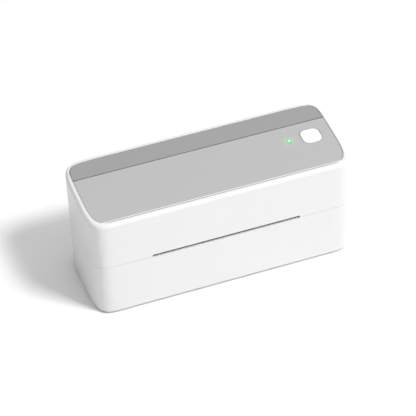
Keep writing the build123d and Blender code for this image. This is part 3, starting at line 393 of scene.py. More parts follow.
turn_outer = near_station(2.5, 1.6)
turn_ground = near_station(2.5, 0.6)
turn_wall = sums(turn_tree, "SUBTRACT", turn_in.outputs["Radius"], turn_in.outputs["Bore radius"])
turn_unground = sums(turn_tree, "SUBTRACT", 1.0, turn_ground)
turn_cut = sums(turn_tree, "MULTIPLY", turn_in.outputs["Chamfer"], turn_unground)
turn_height = sums(turn_tree, "MULTIPLY", turn_outer, sums(turn_tree, "SUBTRACT", turn_wall, turn_cut))
turn_radius = sums(turn_tree, "ADD", turn_in.outputs["Bore radius"], turn_height)
turn_right = near_station(4.0, 1.2)
turn_reach = sums(turn_tree, "SUBTRACT", sums(turn_tree, "MULTIPLY", turn_in.outputs["Length"], 0.5),
                  sums(turn_tree, "MULTIPLY", turn_in.outputs["Chamfer"], turn_ground))
turn_x = sums(turn_tree, "MULTIPLY", turn_reach,
              sums(turn_tree, "SUBTRACT", sums(turn_tree, "MULTIPLY", turn_right, 2.0), 1.0))
turn_point = put(turn_tree, "ShaderNodeCombineXYZ")
wire(turn_x, turn_point.inputs["X"])
wire(sums(turn_tree, "MULTIPLY", turn_radius, sums(turn_tree, "COSINE", turn_angle)),
     turn_point.inputs["Y"])
wire(sums(turn_tree, "MULTIPLY", turn_radius, sums(turn_tree, "SINE", turn_angle)), turn_point.inputs["Z"])
turn_move = put(turn_tree, "ShaderNodeVectorMath", operation="ADD")
wire(turn_point.outputs["Vector"], turn_move.inputs[0])
wire(turn_in.outputs["Centre"], turn_move.inputs[1])
turn_shape = put(turn_tree, "GeometryNodeSetPosition")
wire(turn_sheet.outputs["Mesh"], turn_shape.inputs["Geometry"])
wire(turn_move.outputs["Vector"], turn_shape.inputs["Position"])
turn_closed = put(turn_tree, "GeometryNodeMergeByDistance")
turn_closed.inputs["Distance"].default_value = 1e-6
wire(turn_shape.outputs["Geometry"], turn_closed.inputs["Geometry"])
close_tree(turn_tree, turn_closed.outputs["Geometry"], turn_in, turn_out)

roller_lo, roller_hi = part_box("platen_rubber")
grow(turn_tree, "platen_roller", {
    "Radius": (roller_hi.z - roller_lo.z) / 2, "Bore radius": 0.00302, "Length": roller_hi.x - roller_lo.x,
    "Chamfer": 0.0004, "Centre": (roller_lo + roller_hi) / 2, "Material": roller_rubber,
}, body_of["platen_rubber"], "rubber_roller", ("platen_rubber",))


# ---------------------------------------------------------------- gear train
# Moulded acetal gears of half-millimetre module: the motor's brass pinion
# drives the double idler, and its small wheel drives the platen.
def plate_between(tree, rings, thickness):
    """A closed plate of this thickness between an outer ring and the rings inside it."""
    joined = put(tree, "GeometryNodeJoinGeometry")
    for ring in rings:
        curve = put(tree, "GeometryNodeMeshToCurve")
        wire(ring, curve.inputs["Mesh"])
        wire(curve.outputs["Curve"], joined.inputs["Geometry"])
    face = put(tree, "GeometryNodeFillCurve")
    grown = put(tree, "GeometryNodeExtrudeMesh", mode="FACES")
    grown.inputs["Individual"].default_value = False
    up = put(tree, "ShaderNodeCombineXYZ")
    turned = put(tree, "GeometryNodeFlipFaces")
    both = put(tree, "GeometryNodeJoinGeometry")
    merged = put(tree, "GeometryNodeMergeByDistance")
    merged.inputs["Distance"].default_value = 1e-6
    wire(joined.outputs["Geometry"], face.inputs["Curve"])
    wire(face.outputs["Mesh"], grown.inputs["Mesh"])
    wire(thickness, up.inputs["Z"])
    wire(up.outputs["Vector"], grown.inputs["Offset"])
    grown.inputs["Offset Scale"].default_value = 1.0
    wire(face.outputs["Mesh"], turned.inputs["Mesh"])
    wire(grown.outputs["Mesh"], both.inputs["Geometry"])
    wire(turned.outputs["Mesh"], both.inputs["Geometry"])
    wire(both.outputs["Geometry"], merged.inputs["Geometry"])
    return merged.outputs["Geometry"]


def round_ring(tree, radius, count=40):
    ring = put(tree, "GeometryNodeMeshCircle")
    ring.inputs["Vertices"].default_value = count
    wire(radius, ring.inputs["Radius"])
    return ring.outputs["Mesh"]


gear_tree, gear_in, gear_out = geometry_tree("cut_gear", [
    ("Teeth", "NodeSocketInt"), ("Module", "NodeSocketFloat"), ("Width", "NodeSocketFloat"),
    ("Phase", "NodeSocketFloat"), ("Bore radius", "NodeSocketFloat"), ("Rim inside", "NodeSocketFloat"),
    ("Hub radius", "NodeSocketFloat"), ("Web recess", "NodeSocketFloat"), ("Backlash", "NodeSocketFloat"),
    ("Place", "NodeSocketVector"), ("Material", "NodeSocketMaterial"),
])
gear_module = gear_in.outputs["Module"]
gear_across = sums(gear_tree, "MULTIPLY", gear_in.outputs["Teeth"], gear_module)
gear_pitch = sums(gear_tree, "MULTIPLY", gear_across, 0.5)
gear_tip = sums(gear_tree, "ADD", gear_pitch, gear_module)
gear_root = sums(gear_tree, "SUBTRACT", gear_pitch, sums(gear_tree, "MULTIPLY", gear_module, 1.25))
gear_half = sums(gear_tree, "MULTIPLY", sums(
    gear_tree, "SUBTRACT", sums(gear_tree, "MULTIPLY", gear_module, math.pi / 2), gear_in.outputs["Backlash"],
), 0.5)
gear_lean = sums(gear_tree, "MULTIPLY", gear_module, math.tan(math.radians(20)))
gear_index = put(gear_tree, "GeometryNodeInputIndex").outputs["Index"]
gear_corner = sums(gear_tree, "MODULO", gear_index, 4.0)
gear_at_tip = sums(gear_tree, "COMPARE", gear_corner, 1.5, 0.6)
gear_after = sums(gear_tree, "GREATER_THAN", gear_corner, 1.5)
gear_side = sums(gear_tree, "SUBTRACT", sums(gear_tree, "MULTIPLY", gear_after, 2.0), 1.0)
gear_down = sums(gear_tree, "SUBTRACT", 1.0, gear_at_tip)
gear_radius = sums(gear_tree, "ADD", sums(gear_tree, "MULTIPLY", gear_tip, gear_at_tip),
                   sums(gear_tree, "MULTIPLY", gear_root, gear_down))
gear_width_here = sums(gear_tree, "ADD", gear_half, sums(
    gear_tree, "MULTIPLY", gear_lean, sums(gear_tree, "SUBTRACT", gear_down, gear_at_tip),
))
gear_step = sums(gear_tree, "DIVIDE", 2 * math.pi, gear_in.outputs["Teeth"])
gear_tooth = sums(gear_tree, "FLOOR", sums(gear_tree, "DIVIDE", gear_index, 4.0))
gear_angle = sums(gear_tree, "ADD", gear_in.outputs["Phase"], sums(
    gear_tree, "ADD", sums(gear_tree, "MULTIPLY", gear_tooth, gear_step),
    sums(gear_tree, "MULTIPLY", gear_side, sums(gear_tree, "DIVIDE", gear_width_here, gear_radius)),
))
gear_point = put(gear_tree, "ShaderNodeCombineXYZ")
wire(sums(gear_tree, "MULTIPLY", gear_radius, sums(gear_tree, "COSINE", gear_angle)),
     gear_point.inputs["X"])
wire(sums(gear_tree, "MULTIPLY", gear_radius, sums(gear_tree, "SINE", gear_angle)), gear_point.inputs["Y"])
gear_blank = put(gear_tree, "GeometryNodeMeshCircle")
wire(sums(gear_tree, "MULTIPLY", gear_in.outputs["Teeth"], 4.0), gear_blank.inputs["Vertices"])
gear_cut = put(gear_tree, "GeometryNodeSetPosition")
wire(gear_blank.outputs["Mesh"], gear_cut.inputs["Geometry"])
wire(gear_point.outputs["Vector"], gear_cut.inputs["Position"])
gear_rim = plate_between(
    gear_tree, [gear_cut.outputs["Geometry"], round_ring(gear_tree, gear_in.outputs["Rim inside"])],
    gear_in.outputs["Width"],
)
gear_web_width = sums(gear_tree, "SUBTRACT", gear_in.outputs["Width"],
                      sums(gear_tree, "MULTIPLY", gear_in.outputs["Web recess"], 2.0))
gear_lap = 0.00005
gear_web = plate_between(gear_tree, [
    round_ring(gear_tree, sums(gear_tree, "ADD", gear_in.outputs["Rim inside"], gear_lap)),
    round_ring(gear_tree, sums(gear_tree, "SUBTRACT", gear_in.outputs["Hub radius"], gear_lap)),
], gear_web_width)
gear_hub = plate_between(gear_tree, [
    round_ring(gear_tree, gear_in.outputs["Hub radius"]),
    round_ring(gear_tree, gear_in.outputs["Bore radius"]),
], gear_in.outputs["Width"])
gear_raise = put(gear_tree, "ShaderNodeCombineXYZ")
wire(gear_in.outputs["Web recess"], gear_raise.inputs["Z"])
gear_web_up = put(gear_tree, "GeometryNodeTransform")
wire(gear_web, gear_web_up.inputs["Geometry"])
wire(gear_raise.outputs["Vector"], gear_web_up.inputs["Translation"])
gear_whole = put(gear_tree, "GeometryNodeJoinGeometry")
for part in (gear_rim, gear_web_up.outputs["Geometry"], gear_hub):
    wire(part, gear_whole.inputs["Geometry"])
# The wheel is cut about Z and then stood on the X axis, so Z, X and Y become X, Y and Z.
gear_here = put(gear_tree, "GeometryNodeInputPosition")
gear_split = put(gear_tree, "ShaderNodeSeparateXYZ")
gear_turn = put(gear_tree, "ShaderNodeCombineXYZ")
gear_move = put(gear_tree, "ShaderNodeVectorMath", operation="ADD")
gear_stand = put(gear_tree, "GeometryNodeSetPosition")
wire(gear_here.outputs["Position"], gear_split.inputs["Vector"])
for source, target in (("Z", "X"), ("X", "Y"), ("Y", "Z")):
    wire(gear_split.outputs[source], gear_turn.inputs[target])
wire(gear_turn.outputs["Vector"], gear_move.inputs[0])
wire(gear_in.outputs["Place"], gear_move.inputs[1])
wire(gear_whole.outputs["Geometry"], gear_stand.inputs["Geometry"])
wire(gear_move.outputs["Vector"], gear_stand.inputs["Position"])
close_tree(gear_tree, gear_stand.outputs["Geometry"], gear_in, gear_out)

joint_place = {
    joint["name"]: Vector(joint["pos_m"])
    for joint in frame["record"]["behaviour"]["joints"] if "pos_m" in joint
}
platen_axis = joint_place["platen_spin"]
idler_axis = joint_place["idler_spin"]
motor_axis = joint_place["motor_spin"]
platen_teeth, idler_small_teeth, idler_large_teeth, pinion_teeth = 40, 16, 48, 16
tooth_module = 0.0005
tooth_backlash = 0.00012
wheel_overlap = 0.0001
to_idler = math.atan2(idler_axis.z - platen_axis.z, idler_axis.y - platen_axis.y)
to_motor = math.atan2(motor_axis.z - idler_axis.z, motor_axis.y - idler_axis.y)
gear_white = finish("gear_white", (0.82, 0.82, 0.8), shade=0.95, roughness=0.42, grains=3000,
                    edge=(0.9, 0.9, 0.88), edge_width=0.0002)
pinion_brass = finish("pinion_brass", (0.78, 0.57, 0.25), shade=0.85, roughness=0.37, metal=1.0, grains=3000,
                      depth=0.000003, edge=(0.95, 0.8, 0.5), edge_width=0.0002)


def gear_wheel(name, node, teeth, phase, span, axis, bore, rim, hub, recess, skin, slot):
    sizes = {
        "Teeth": teeth, "Module": tooth_module, "Width": span[1] - span[0], "Phase": phase,
        "Bore radius": bore,
        "Rim inside": rim, "Hub radius": hub, "Web recess": recess, "Backlash": tooth_backlash,
        "Place": (span[0], axis.y, axis.z), "Material": skin,
    }
    return grow(gear_tree, name, sizes, body_of[node], slot, (node,))


platen_wheel_lo, platen_wheel_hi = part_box("platen_gear")
idler_lo, idler_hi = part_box("idler_gear")
pinion_lo, pinion_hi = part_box("motor_pinion")
gear_wheel("platen_wheel", "platen_gear", platen_teeth, to_idler, (platen_wheel_lo.x, platen_wheel_hi.x),
           platen_axis, bore=0.00252, rim=0.0082, hub=0.0042, recess=0.0011, skin=gear_white, slot="acetal")
gear_wheel("idler_small_wheel", "idler_gear", idler_small_teeth,
           to_idler + math.pi + math.pi / idler_small_teeth, (pinion_hi.x - wheel_overlap, idler_hi.x),
           idler_axis, bore=0.00156, rim=0.0028, hub=0.0024, recess=0.0002, skin=gear_white, slot="acetal")
gear_wheel("idler_large_wheel", "idler_gear", idler_large_teeth, to_motor, (idler_lo.x, pinion_hi.x),
           idler_axis, bore=0.00156, rim=0.0102, hub=0.0042, recess=0.001, skin=gear_white, slot="acetal")
gear_wheel("pinion_wheel", "motor_pinion", pinion_teeth, to_motor + math.pi + math.pi / pinion_teeth,
           (pinion_lo.x, pinion_hi.x), motor_axis, bore=0.00152, rim=0.0028, hub=0.0024, recess=0.0001,
           skin=pinion_brass, slot="brass")
smooth_copy("idler_post", "idler_stud", bright_steel, "steel_pin")

# ---------------------------------------------------------------- motor
# Can-stack stepper in pressed steel cups, with its flange screwed to the left
# side plate.
motor_cup = finish("motor_cup", (0.58, 0.59, 0.6), shade=0.85, roughness=0.4, spread=0.1, metal=1.0,
                   grains=1200, stretch=(6, 1, 1), depth=0.000005, edge=(0.85, 0.85, 0.85))
smooth_copy("stepper_motor", "stepper_cups", motor_cup, "motor_can")
smooth_copy("motor_shaft", "stepper_spindle", bright_steel, "steel_pin")

# ---------------------------------------------------------------- media deck
# Moulded dark grey deck that the labels slide over, with the gap sensor in a
# window. Two edge guides run on racks and one pinion under the deck.
deck_grey = finish("deck_grey", (0.16, 0.16, 0.17), shade=0.9, roughness=0.5, grains=2500, depth=0.00002,
                   edge=(0.24, 0.24, 0.25))
guide_grey = finish("guide_grey", (0.36, 0.37, 0.38), shade=0.93, roughness=0.42, grains=2500, depth=0.00001,
                    edge=(0.5, 0.5, 0.51))
sensor_black = finish("sensor_black", (0.02, 0.02, 0.022), roughness=0.38, grains=4000,
                      edge=(0.06, 0.06, 0.06))
smooth_copy("paper_deck", "media_deck", deck_grey, "black_plastic")
smooth_copy("media_sensor", "gap_sensor", sensor_black, "black_plastic")
smooth_copy("left_guide", "left_edge_guide", guide_grey, "grey_plastic")
smooth_copy("right_guide", "right_edge_guide", guide_grey, "grey_plastic")
smooth_copy("guide_pinion", "rack_pinion", acetal, "acetal")
smooth_copy("pinion_post", "rack_pinion_stud", bright_steel, "steel_pin")

# ---------------------------------------------------------------- front guide and tear bar
# A black ledge carries each label from the platen to the slot, and a strip of
# hardened steel with ground teeth cuts it off.
ledge_black = finish("ledge_black", (0.035, 0.035, 0.037), roughness=0.45, grains=2500, depth=0.00001,
                     edge=(0.09, 0.09, 0.09))
smooth_copy("front_paper_guide", "front_ledge", ledge_black, "black_plastic")

tear_tree, tear_in, tear_out = geometry_tree("tear_teeth", [
    ("Teeth", "NodeSocketInt"), ("Length", "NodeSocketFloat"), ("Depth", "NodeSocketFloat"),
    ("Tooth depth", "NodeSocketFloat"), ("Thickness", "NodeSocketFloat"), ("Ground", "NodeSocketFloat"),
    ("Place", "NodeSocketVector"), ("Material", "NodeSocketMaterial"),
])
tear_strip = put(tear_tree, "GeometryNodeMeshGrid")
tear_count = sums(tear_tree, "ADD", sums(tear_tree, "MULTIPLY", tear_in.outputs["Teeth"], 2.0), 1.0)
tear_strip.inputs["Vertices Y"].default_value = 3
wire(tear_count, tear_strip.inputs["Vertices X"])
wire(tear_in.outputs["Length"], tear_strip.inputs["Size X"])
wire(tear_in.outputs["Depth"], tear_strip.inputs["Size Y"])
tear_index = put(tear_tree, "GeometryNodeInputIndex").outputs["Index"]
tear_column = sums(tear_tree, "FLOOR", sums(tear_tree, "DIVIDE", tear_index, 3.0))
tear_row = sums(tear_tree, "MODULO", tear_index, 3.0)
tear_front = sums(tear_tree, "LESS_THAN", tear_row, 0.5)
tear_valley = sums(tear_tree, "SUBTRACT", 1.0, sums(tear_tree, "MODULO", tear_column, 2.0))
tear_push = put(tear_tree, "ShaderNodeCombineXYZ")
wire(
    sums(tear_tree, "MULTIPLY", sums(tear_tree, "MULTIPLY", tear_front, tear_valley),
         tear_in.outputs["Tooth depth"]),
    tear_push.inputs["Y"],
)
tear_shape = put(tear_tree, "GeometryNodeSetPosition")
wire(tear_strip.outputs["Mesh"], tear_shape.inputs["Geometry"])
wire(tear_push.outputs["Vector"], tear_shape.inputs["Offset"])
tear_up = put(tear_tree, "ShaderNodeCombineXYZ")
wire(tear_in.outputs["Thickness"], tear_up.inputs["Z"])
tear_grown = put(tear_tree, "GeometryNodeExtrudeMesh", mode="FACES")
tear_grown.inputs["Individual"].default_value = False
tear_grown.inputs["Offset Scale"].default_value = 1.0
wire(tear_shape.outputs["Geometry"], tear_grown.inputs["Mesh"])
wire(tear_up.outputs["Vector"], tear_grown.inputs["Offset"])
tear_under = put(tear_tree, "GeometryNodeFlipFaces")
wire(tear_shape.outputs["Geometry"], tear_under.inputs["Mesh"])
tear_both = put(tear_tree, "GeometryNodeJoinGeometry")
wire(tear_grown.outputs["Mesh"], tear_both.inputs["Geometry"])
wire(tear_under.outputs["Mesh"], tear_both.inputs["Geometry"])
tear_merged = put(tear_tree, "GeometryNodeMergeByDistance")
tear_merged.inputs["Distance"].default_value = 1e-6
wire(tear_both.outputs["Geometry"], tear_merged.inputs["Geometry"])
tear_placed = put(tear_tree, "GeometryNodeTransform")
wire(tear_merged.outputs["Geometry"], tear_placed.inputs["Geometry"])
wire(tear_in.outputs["Place"], tear_placed.inputs["Translation"])
close_tree(tear_tree, tear_placed.outputs["Geometry"], tear_in, tear_out)

tear_lo, tear_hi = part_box("tear_bar")
blade_steel = finish("blade_steel", (0.6, 0.6, 0.61), shade=0.9, roughness=0.37, metal=1.0, grains=2500,
                     stretch=(0.2, 4, 1), depth=0.000004, edge=(0.9, 0.9, 0.9), edge_width=0.0002)
grow(tear_tree, "toothed_strip", {
    "Teeth": 76, "Length": tear_hi.x - tear_lo.x, "Depth": tear_hi.y - tear_lo.y, "Tooth depth": 0.0006,
    "Thickness": tear_hi.z - tear_lo.z,
    "Place": ((tear_lo.x + tear_hi.x) / 2, (tear_lo.y + tear_hi.y) / 2, tear_lo.z), "Material": blade_steel,
}, body_of["tear_bar"], "steel_plate", ("tear_bar",))


# ---------------------------------------------------------------- main board
# Green glass-epoxy board on four posts, with its chips, capacitors, coil and
# plug-in headers, and small passives and gull-wing legs soldered round them.
def board_green(name):
    skin = finish(name, (0.03, 0.2, 0.09), shade=0.8, roughness=0.38, grains=3000, mottle=90,
                  edge=(0.45, 0.42, 0.25), edge_width=0.0003)
    tree = skin.node_tree
    shader = tree.nodes["Principled BSDF"]
    base = shader.inputs["Base Color"].links[0].from_socket
    place = put(tree, "ShaderNodeTexCoord")
    tracks = put(tree, "ShaderNodeTexBrick", scale=1.0)
    tracks.inputs["Brick Width"].default_value = 0.009
    tracks.inputs["Row Height"].default_value = 0.0021
    tracks.inputs["Mortar Size"].default_value = 0.00022
    over = put(tree, "ShaderNodeMix", data_type="RGBA")
    over.inputs[7].default_value = (0.08, 0.36, 0.16, 1)
    wire(place.outputs["Object"], tracks.inputs["Vector"])
    wire(tracks.outputs["Fac"], over.inputs[0])
    wire(base, over.inputs[6])
    wire(over.outputs[2], shader.inputs["Base Color"])
    return skin


epoxy_green = board_green("epoxy_green")
chip_epoxy = finish("chip_epoxy", (0.018, 0.018, 0.02), roughness=0.55, grains=6000, depth=0.00001,
                    edge=(0.05, 0.05, 0.05))
ferrite = finish("ferrite", (0.07, 0.07, 0.075), roughness=0.7, grains=3000, depth=0.00003,
                 edge=(0.12, 0.12, 0.12))
header_nylon = finish("header_nylon", (0.8, 0.77, 0.68), shade=0.95, roughness=0.4, grains=3000,
                      edge=(0.88, 0.86, 0.78))
tin = finish("tin", (0.74, 0.74, 0.75), shade=0.85, roughness=0.37, metal=1.0, grains=4000,
             edge=(0.9, 0.9, 0.9), edge_width=0.0001)
smooth_copy("main_board", "control_board", epoxy_green, "circuit_board")
smooth_copy("board_chips", "chip_bodies", chip_epoxy, "chip_black")
smooth_copy("power_inductor", "choke_coil", ferrite, "chip_black")
smooth_copy("board_headers", "plug_headers", header_nylon, "header_white")

# The cans' aluminium tops show above their dark sleeves.
can_sleeve = finish("can_sleeve", (0.04, 0.04, 0.06), roughness=0.37, grains=3000, edge=(0.75, 0.75, 0.76),
                    edge_width=0.0008)
can_tree = can_sleeve.node_tree
can_shader = can_tree.nodes["Principled BSDF"]
can_base = can_shader.inputs["Base Color"].links[0].from_socket
can_facing = put(can_tree, "ShaderNodeNewGeometry")
can_split = put(can_tree, "ShaderNodeSeparateXYZ")
can_top = put(can_tree, "ShaderNodeMath", operation="GREATER_THAN")
can_top.inputs[1].default_value = 0.8
can_mix = put(can_tree, "ShaderNodeMix", data_type="RGBA")
can_mix.inputs[7].default_value = (0.75, 0.75, 0.76, 1)
wire(can_facing.outputs["Normal"], can_split.inputs["Vector"])
wire(can_split.outputs["Z"], can_top.inputs[0])
wire(can_top.outputs["Value"], can_mix.inputs[0])
wire(can_base, can_mix.inputs[6])
wire(can_mix.outputs[2], can_shader.inputs["Base Color"])
wire(can_top.outputs["Value"], can_shader.inputs["Metallic"])
smooth_copy("board_capacitors", "capacitor_cans", can_sleeve, "capacitor_can")


def loose_boxes(node):
    """The lowest and highest corners of each separate solid in a CAD node."""
    work = bmesh.new()
    work.from_mesh(frame["nodes"][node].data)
    bmesh.ops.remove_doubles(work, verts=work.verts, dist=1e-6)
    seen = set()
    boxes = []
    for first in work.verts:
        if first in seen:
            continue
        island = [first]
        seen.add(first)
        for vertex in island:
            for edge in vertex.link_edges:
                other = edge.other_vert(vertex)
                if other not in seen:
                    seen.add(other)
                    island.append(other)
        low = Vector([min(v.co[axis] for v in island) for axis in range(3)])
        high = Vector([max(v.co[axis] for v in island) for axis in range(3)])
        boxes.append((low, high))
    work.free()
    return boxes


def points_mesh(name, points, ways=None):
    """A mesh of bare points, each with the way that its piece faces."""
    mesh = bpy.data.meshes.new(name)
    mesh.from_pydata([tuple(point) for point in points], [], [])
    if ways:
        facing = mesh.attributes.new("way", "FLOAT_VECTOR", "POINT")
        for index, way in enumerate(ways):
            facing.data[index].vector = way
    return mesh


# One gull-wing leg: a foot on the board and a step up to the chip's side.
leg_tree, leg_in, leg_out = geometry_tree("gull_legs", [
    ("Width", "NodeSocketFloat"), ("Reach", "NodeSocketFloat"), ("Rise", "NodeSocketFloat"),
    ("Material", "NodeSocketMaterial"),
])
leg_both = put(leg_tree, "GeometryNodeJoinGeometry")
leg_sheet = 0.00018
for size, shift in (
    (("Reach", "Width", leg_sheet), (0.5, 0.0, 0.0)),
    ((leg_sheet, "Width", "Rise"), (0.0, 0.0, 0.5)),
):
    block = put(leg_tree, "GeometryNodeMeshCube")
    extent = put(leg_tree, "ShaderNodeCombineXYZ")
    offset = put(leg_tree, "ShaderNodeCombineXYZ")
    for axis, (length, share) in enumerate(zip(size, shift)):
        if isinstance(length, str):
            wire(leg_in.outputs[length], extent.inputs[axis])
            wire(sums(leg_tree, "MULTIPLY", leg_in.outputs[length], share), offset.inputs[axis])
        else:
            extent.inputs[axis].default_value = length
            offset.inputs[axis].default_value = length / 2
    moved = put(leg_tree, "GeometryNodeTransform")
    wire(extent.outputs["Vector"], block.inputs["Size"])
    wire(block.outputs["Mesh"], moved.inputs["Geometry"])
    wire(offset.outputs["Vector"], moved.inputs["Translation"])
    wire(moved.outputs["Geometry"], leg_both.inputs["Geometry"])
leg_way = put(leg_tree, "GeometryNodeInputNamedAttribute", data_type="FLOAT_VECTOR")
leg_way.inputs["Name"].default_value = "way"
leg_turn = put(leg_tree, "FunctionNodeAlignRotationToVector", axis="X", pivot_axis="Z")
leg_set = put(leg_tree, "GeometryNodeInstanceOnPoints")
wire(leg_way.outputs["Attribute"], leg_turn.inputs["Vector"])
wire(leg_in.outputs["Geometry"], leg_set.inputs["Points"])
wire(leg_both.outputs["Geometry"], leg_set.inputs["Instance"])
wire(leg_turn.outputs["Rotation"], leg_set.inputs["Rotation"])
close_tree(leg_tree, leg_set.outputs["Instances"], leg_in, leg_out)

leg_pitch = 0.0008
leg_points = []
leg_ways = []
for low, high in loose_boxes("board_chips"):
    count = int((high.y - low.y - leg_pitch) / leg_pitch)
    first = (low.y + high.y - (count - 1) * leg_pitch) / 2
    for number in range(count):
        for x, way in ((low.x, -1), (high.x, 1)):
            leg_points.append((x, first + number * leg_pitch, low.z))
            leg_ways.append((way, 0, 0))
grow(leg_tree, "chip_legs", {"Width": 0.00035, "Reach": 0.0009, "Rise": 0.0007, "Material": tin},
     body_of["board_chips"], "steel_pin", start=points_mesh("chip_legs", leg_points, leg_ways))

# Passives: a grid of places on the board, thinned at random and kept clear of the big parts.
passive_tree, passive_in, passive_out = geometry_tree("board_passives", [
    ("Length X", "NodeSocketFloat"), ("Length Y", "NodeSocketFloat"), ("Pitch", "NodeSocketFloat"),
    ("Centre", "NodeSocketVector"), ("Piece", "NodeSocketVector"), ("Clearance", "NodeSocketFloat"),
    ("Share", "NodeSocketFloat"), ("Seed", "NodeSocketInt"), ("Material", "NodeSocketMaterial"),
])
passive_grid = put(passive_tree, "GeometryNodeMeshGrid")
for axis in "XY":
    wire(passive_in.outputs["Length " + axis], passive_grid.inputs["Size " + axis])
    wire(
        sums(passive_tree, "FLOOR", sums(
            passive_tree, "DIVIDE", passive_in.outputs["Length " + axis], passive_in.outputs["Pitch"])),
        passive_grid.inputs["Vertices " + axis],
    )
passive_shift = put(passive_tree, "GeometryNodeTransform")
wire(passive_grid.outputs["Mesh"], passive_shift.inputs["Geometry"])
wire(passive_in.outputs["Centre"], passive_shift.inputs["Translation"])
passive_near = put(passive_tree, "GeometryNodeProximity", target_element="FACES")
wire(passive_in.outputs["Geometry"], passive_near.inputs[0])
passive_chance = put(passive_tree, "FunctionNodeRandomValue", data_type="FLOAT")
wire(passive_in.outputs["Seed"], passive_chance.inputs["Seed"])
passive_kept = sums(
    passive_tree, "MULTIPLY",
    sums(passive_tree, "GREATER_THAN", passive_near.outputs["Distance"], passive_in.outputs["Clearance"]),
    sums(passive_tree, "LESS_THAN", passive_chance.outputs[1], passive_in.outputs["Share"]),
)
passive_block = put(passive_tree, "GeometryNodeMeshCube")
wire(passive_in.outputs["Piece"], passive_block.inputs["Size"])
passive_set = put(passive_tree, "GeometryNodeInstanceOnPoints")
wire(passive_shift.outputs["Geometry"], passive_set.inputs["Points"])
wire(passive_kept, passive_set.inputs["Selection"])
wire(passive_block.outputs["Mesh"], passive_set.inputs["Instance"])
close_tree(passive_tree, passive_set.outputs["Instances"], passive_in, passive_out)


def joined_nodes(name, nodes):
    """One mesh of several CAD nodes, for the trees to measure from."""
    work = bmesh.new()
    for node in nodes:
        work.from_mesh(frame["nodes"][node].data)
    mesh = bpy.data.meshes.new(name)
    work.to_mesh(mesh)
    work.free()
    return mesh


board_lo, board_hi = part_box("main_board")
board_margin = 0.006
board_middle = (board_lo + board_hi) / 2
big_parts = ("board_chips", "board_capacitors", "power_inductor", "board_headers", "board_screws", "usb_port",
             "dc_jack", "switch_terminals")
passive_brown = finish("passive_brown", (0.33, 0.22, 0.13), roughness=0.5, grains=5000, edge=(0.5, 0.4, 0.3),
                       edge_width=0.0001)
for name, piece_size, skin, slot in (
    ("passive_bodies", (0.0016, 0.0008, 0.0007), passive_brown, "chip_black"),
    ("passive_ends", (0.0020, 0.00078, 0.0005), tin, "steel_pin"),
):
    grow(passive_tree, name, {
        "Length X": board_hi.x - board_lo.x - 2 * board_margin,
        "Length Y": board_hi.y - board_lo.y - 2 * board_margin, "Pitch": 0.0032,
        "Centre": (board_middle.x, board_middle.y, board_hi.z + piece_size[2] / 2),
        "Piece": piece_size, "Clearance": 0.0022, "Share": 0.34, "Seed": 7, "Material": skin,
    }, "base", slot, start=joined_nodes(name, big_parts))

# ---------------------------------------------------------------- sockets and power switch
# Behind the back wall: a square data socket, a round power inlet and a
# snap-in rocker switch, each soldered or wired to the board.
socket_steel = finish("socket_steel", (0.7, 0.7, 0.72), shade=0.88, roughness=0.37, metal=1.0, grains=2500,
                      depth=0.000004, edge=(0.88, 0.88, 0.9), edge_width=0.0003)
socket_black = finish("socket_black", (0.025, 0.025, 0.027), roughness=0.38, grains=3500, depth=0.00001,
                      edge=(0.08, 0.08, 0.08))
tongue_nylon = finish("tongue_nylon", (0.75, 0.74, 0.7), roughness=0.45, grains=3000, edge=(0.85, 0.84, 0.8))
smooth_copy("usb_port", "data_socket_can", socket_steel, "steel_plate")
smooth_copy("usb_tongue", "data_socket_tongue", tongue_nylon, "header_white")
smooth_copy("dc_jack", "power_inlet_block", socket_black, "black_plastic")
smooth_copy("dc_jack_pin", "power_inlet_pin", tin, "steel_pin")
smooth_copy("switch_housing", "rocker_bezel", socket_black, "black_plastic")
smooth_copy("power_rocker", "rocker_key", socket_black, "black_plastic")
smooth_copy("switch_terminals", "rocker_tabs", pinion_brass, "brass")

# ---------------------------------------------------------------- hinge and catch pins
# Turned steel pins: two carry the lid, and two more hold its snap hooks down.
smooth_copy("hinge_pins", "lid_pins", bright_steel, "steel_pin")
smooth_copy("catch_pins", "hook_pins", bright_steel, "steel_pin")

# ---------------------------------------------------------------- upper shell
# The lid's moulded shell, in the same white ABS, with a raised rim round the
# recess that the two grey panels lie in.
smooth_copy("upper_shell", "case_lid", white_abs, "white_shell")

# ---------------------------------------------------------------- top panels
# Two satin grey sheets with a fine groove between them: the rear one is a
# shade darker. The status light spills a little green on the front one.
light_lo, light_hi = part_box("light_pipe")
light_centre = Vector(((light_lo.x + light_hi.x) / 2, (light_lo.y + light_hi.y) / 2, light_hi.z))


# How far the surface is from the light pipe's axis, as a share of a reach.
halo, halo_in, halo_out = shader_group(
    "light_halo",
    [("Centre", "NodeSocketVector", (0, 0, 0)), ("Reach", "NodeSocketFloat", 0.008)],
    [("Share", "NodeSocketFloat")],
)
halo_place = put(halo, "ShaderNodeTexCoord")
halo_flat = put(halo, "ShaderNodeVectorMath", operation="MULTIPLY")
halo_flat.inputs[1].default_value = (1, 1, 0)
halo_away = put(halo, "ShaderNodeVectorMath", operation="DISTANCE")
halo_share = put(halo, "ShaderNodeMath", operation="DIVIDE")
wire(halo_place.outputs["Object"], halo_flat.inputs[0])
wire(halo_flat.outputs["Vector"], halo_away.inputs[0])
wire(halo_in.outputs["Centre"], halo_away.inputs[1])
wire(halo_away.outputs["Value"], halo_share.inputs[0])
wire(halo_in.outputs["Reach"], halo_share.inputs[1])
wire(halo_share.outputs["Value"], halo_out.inputs["Share"])


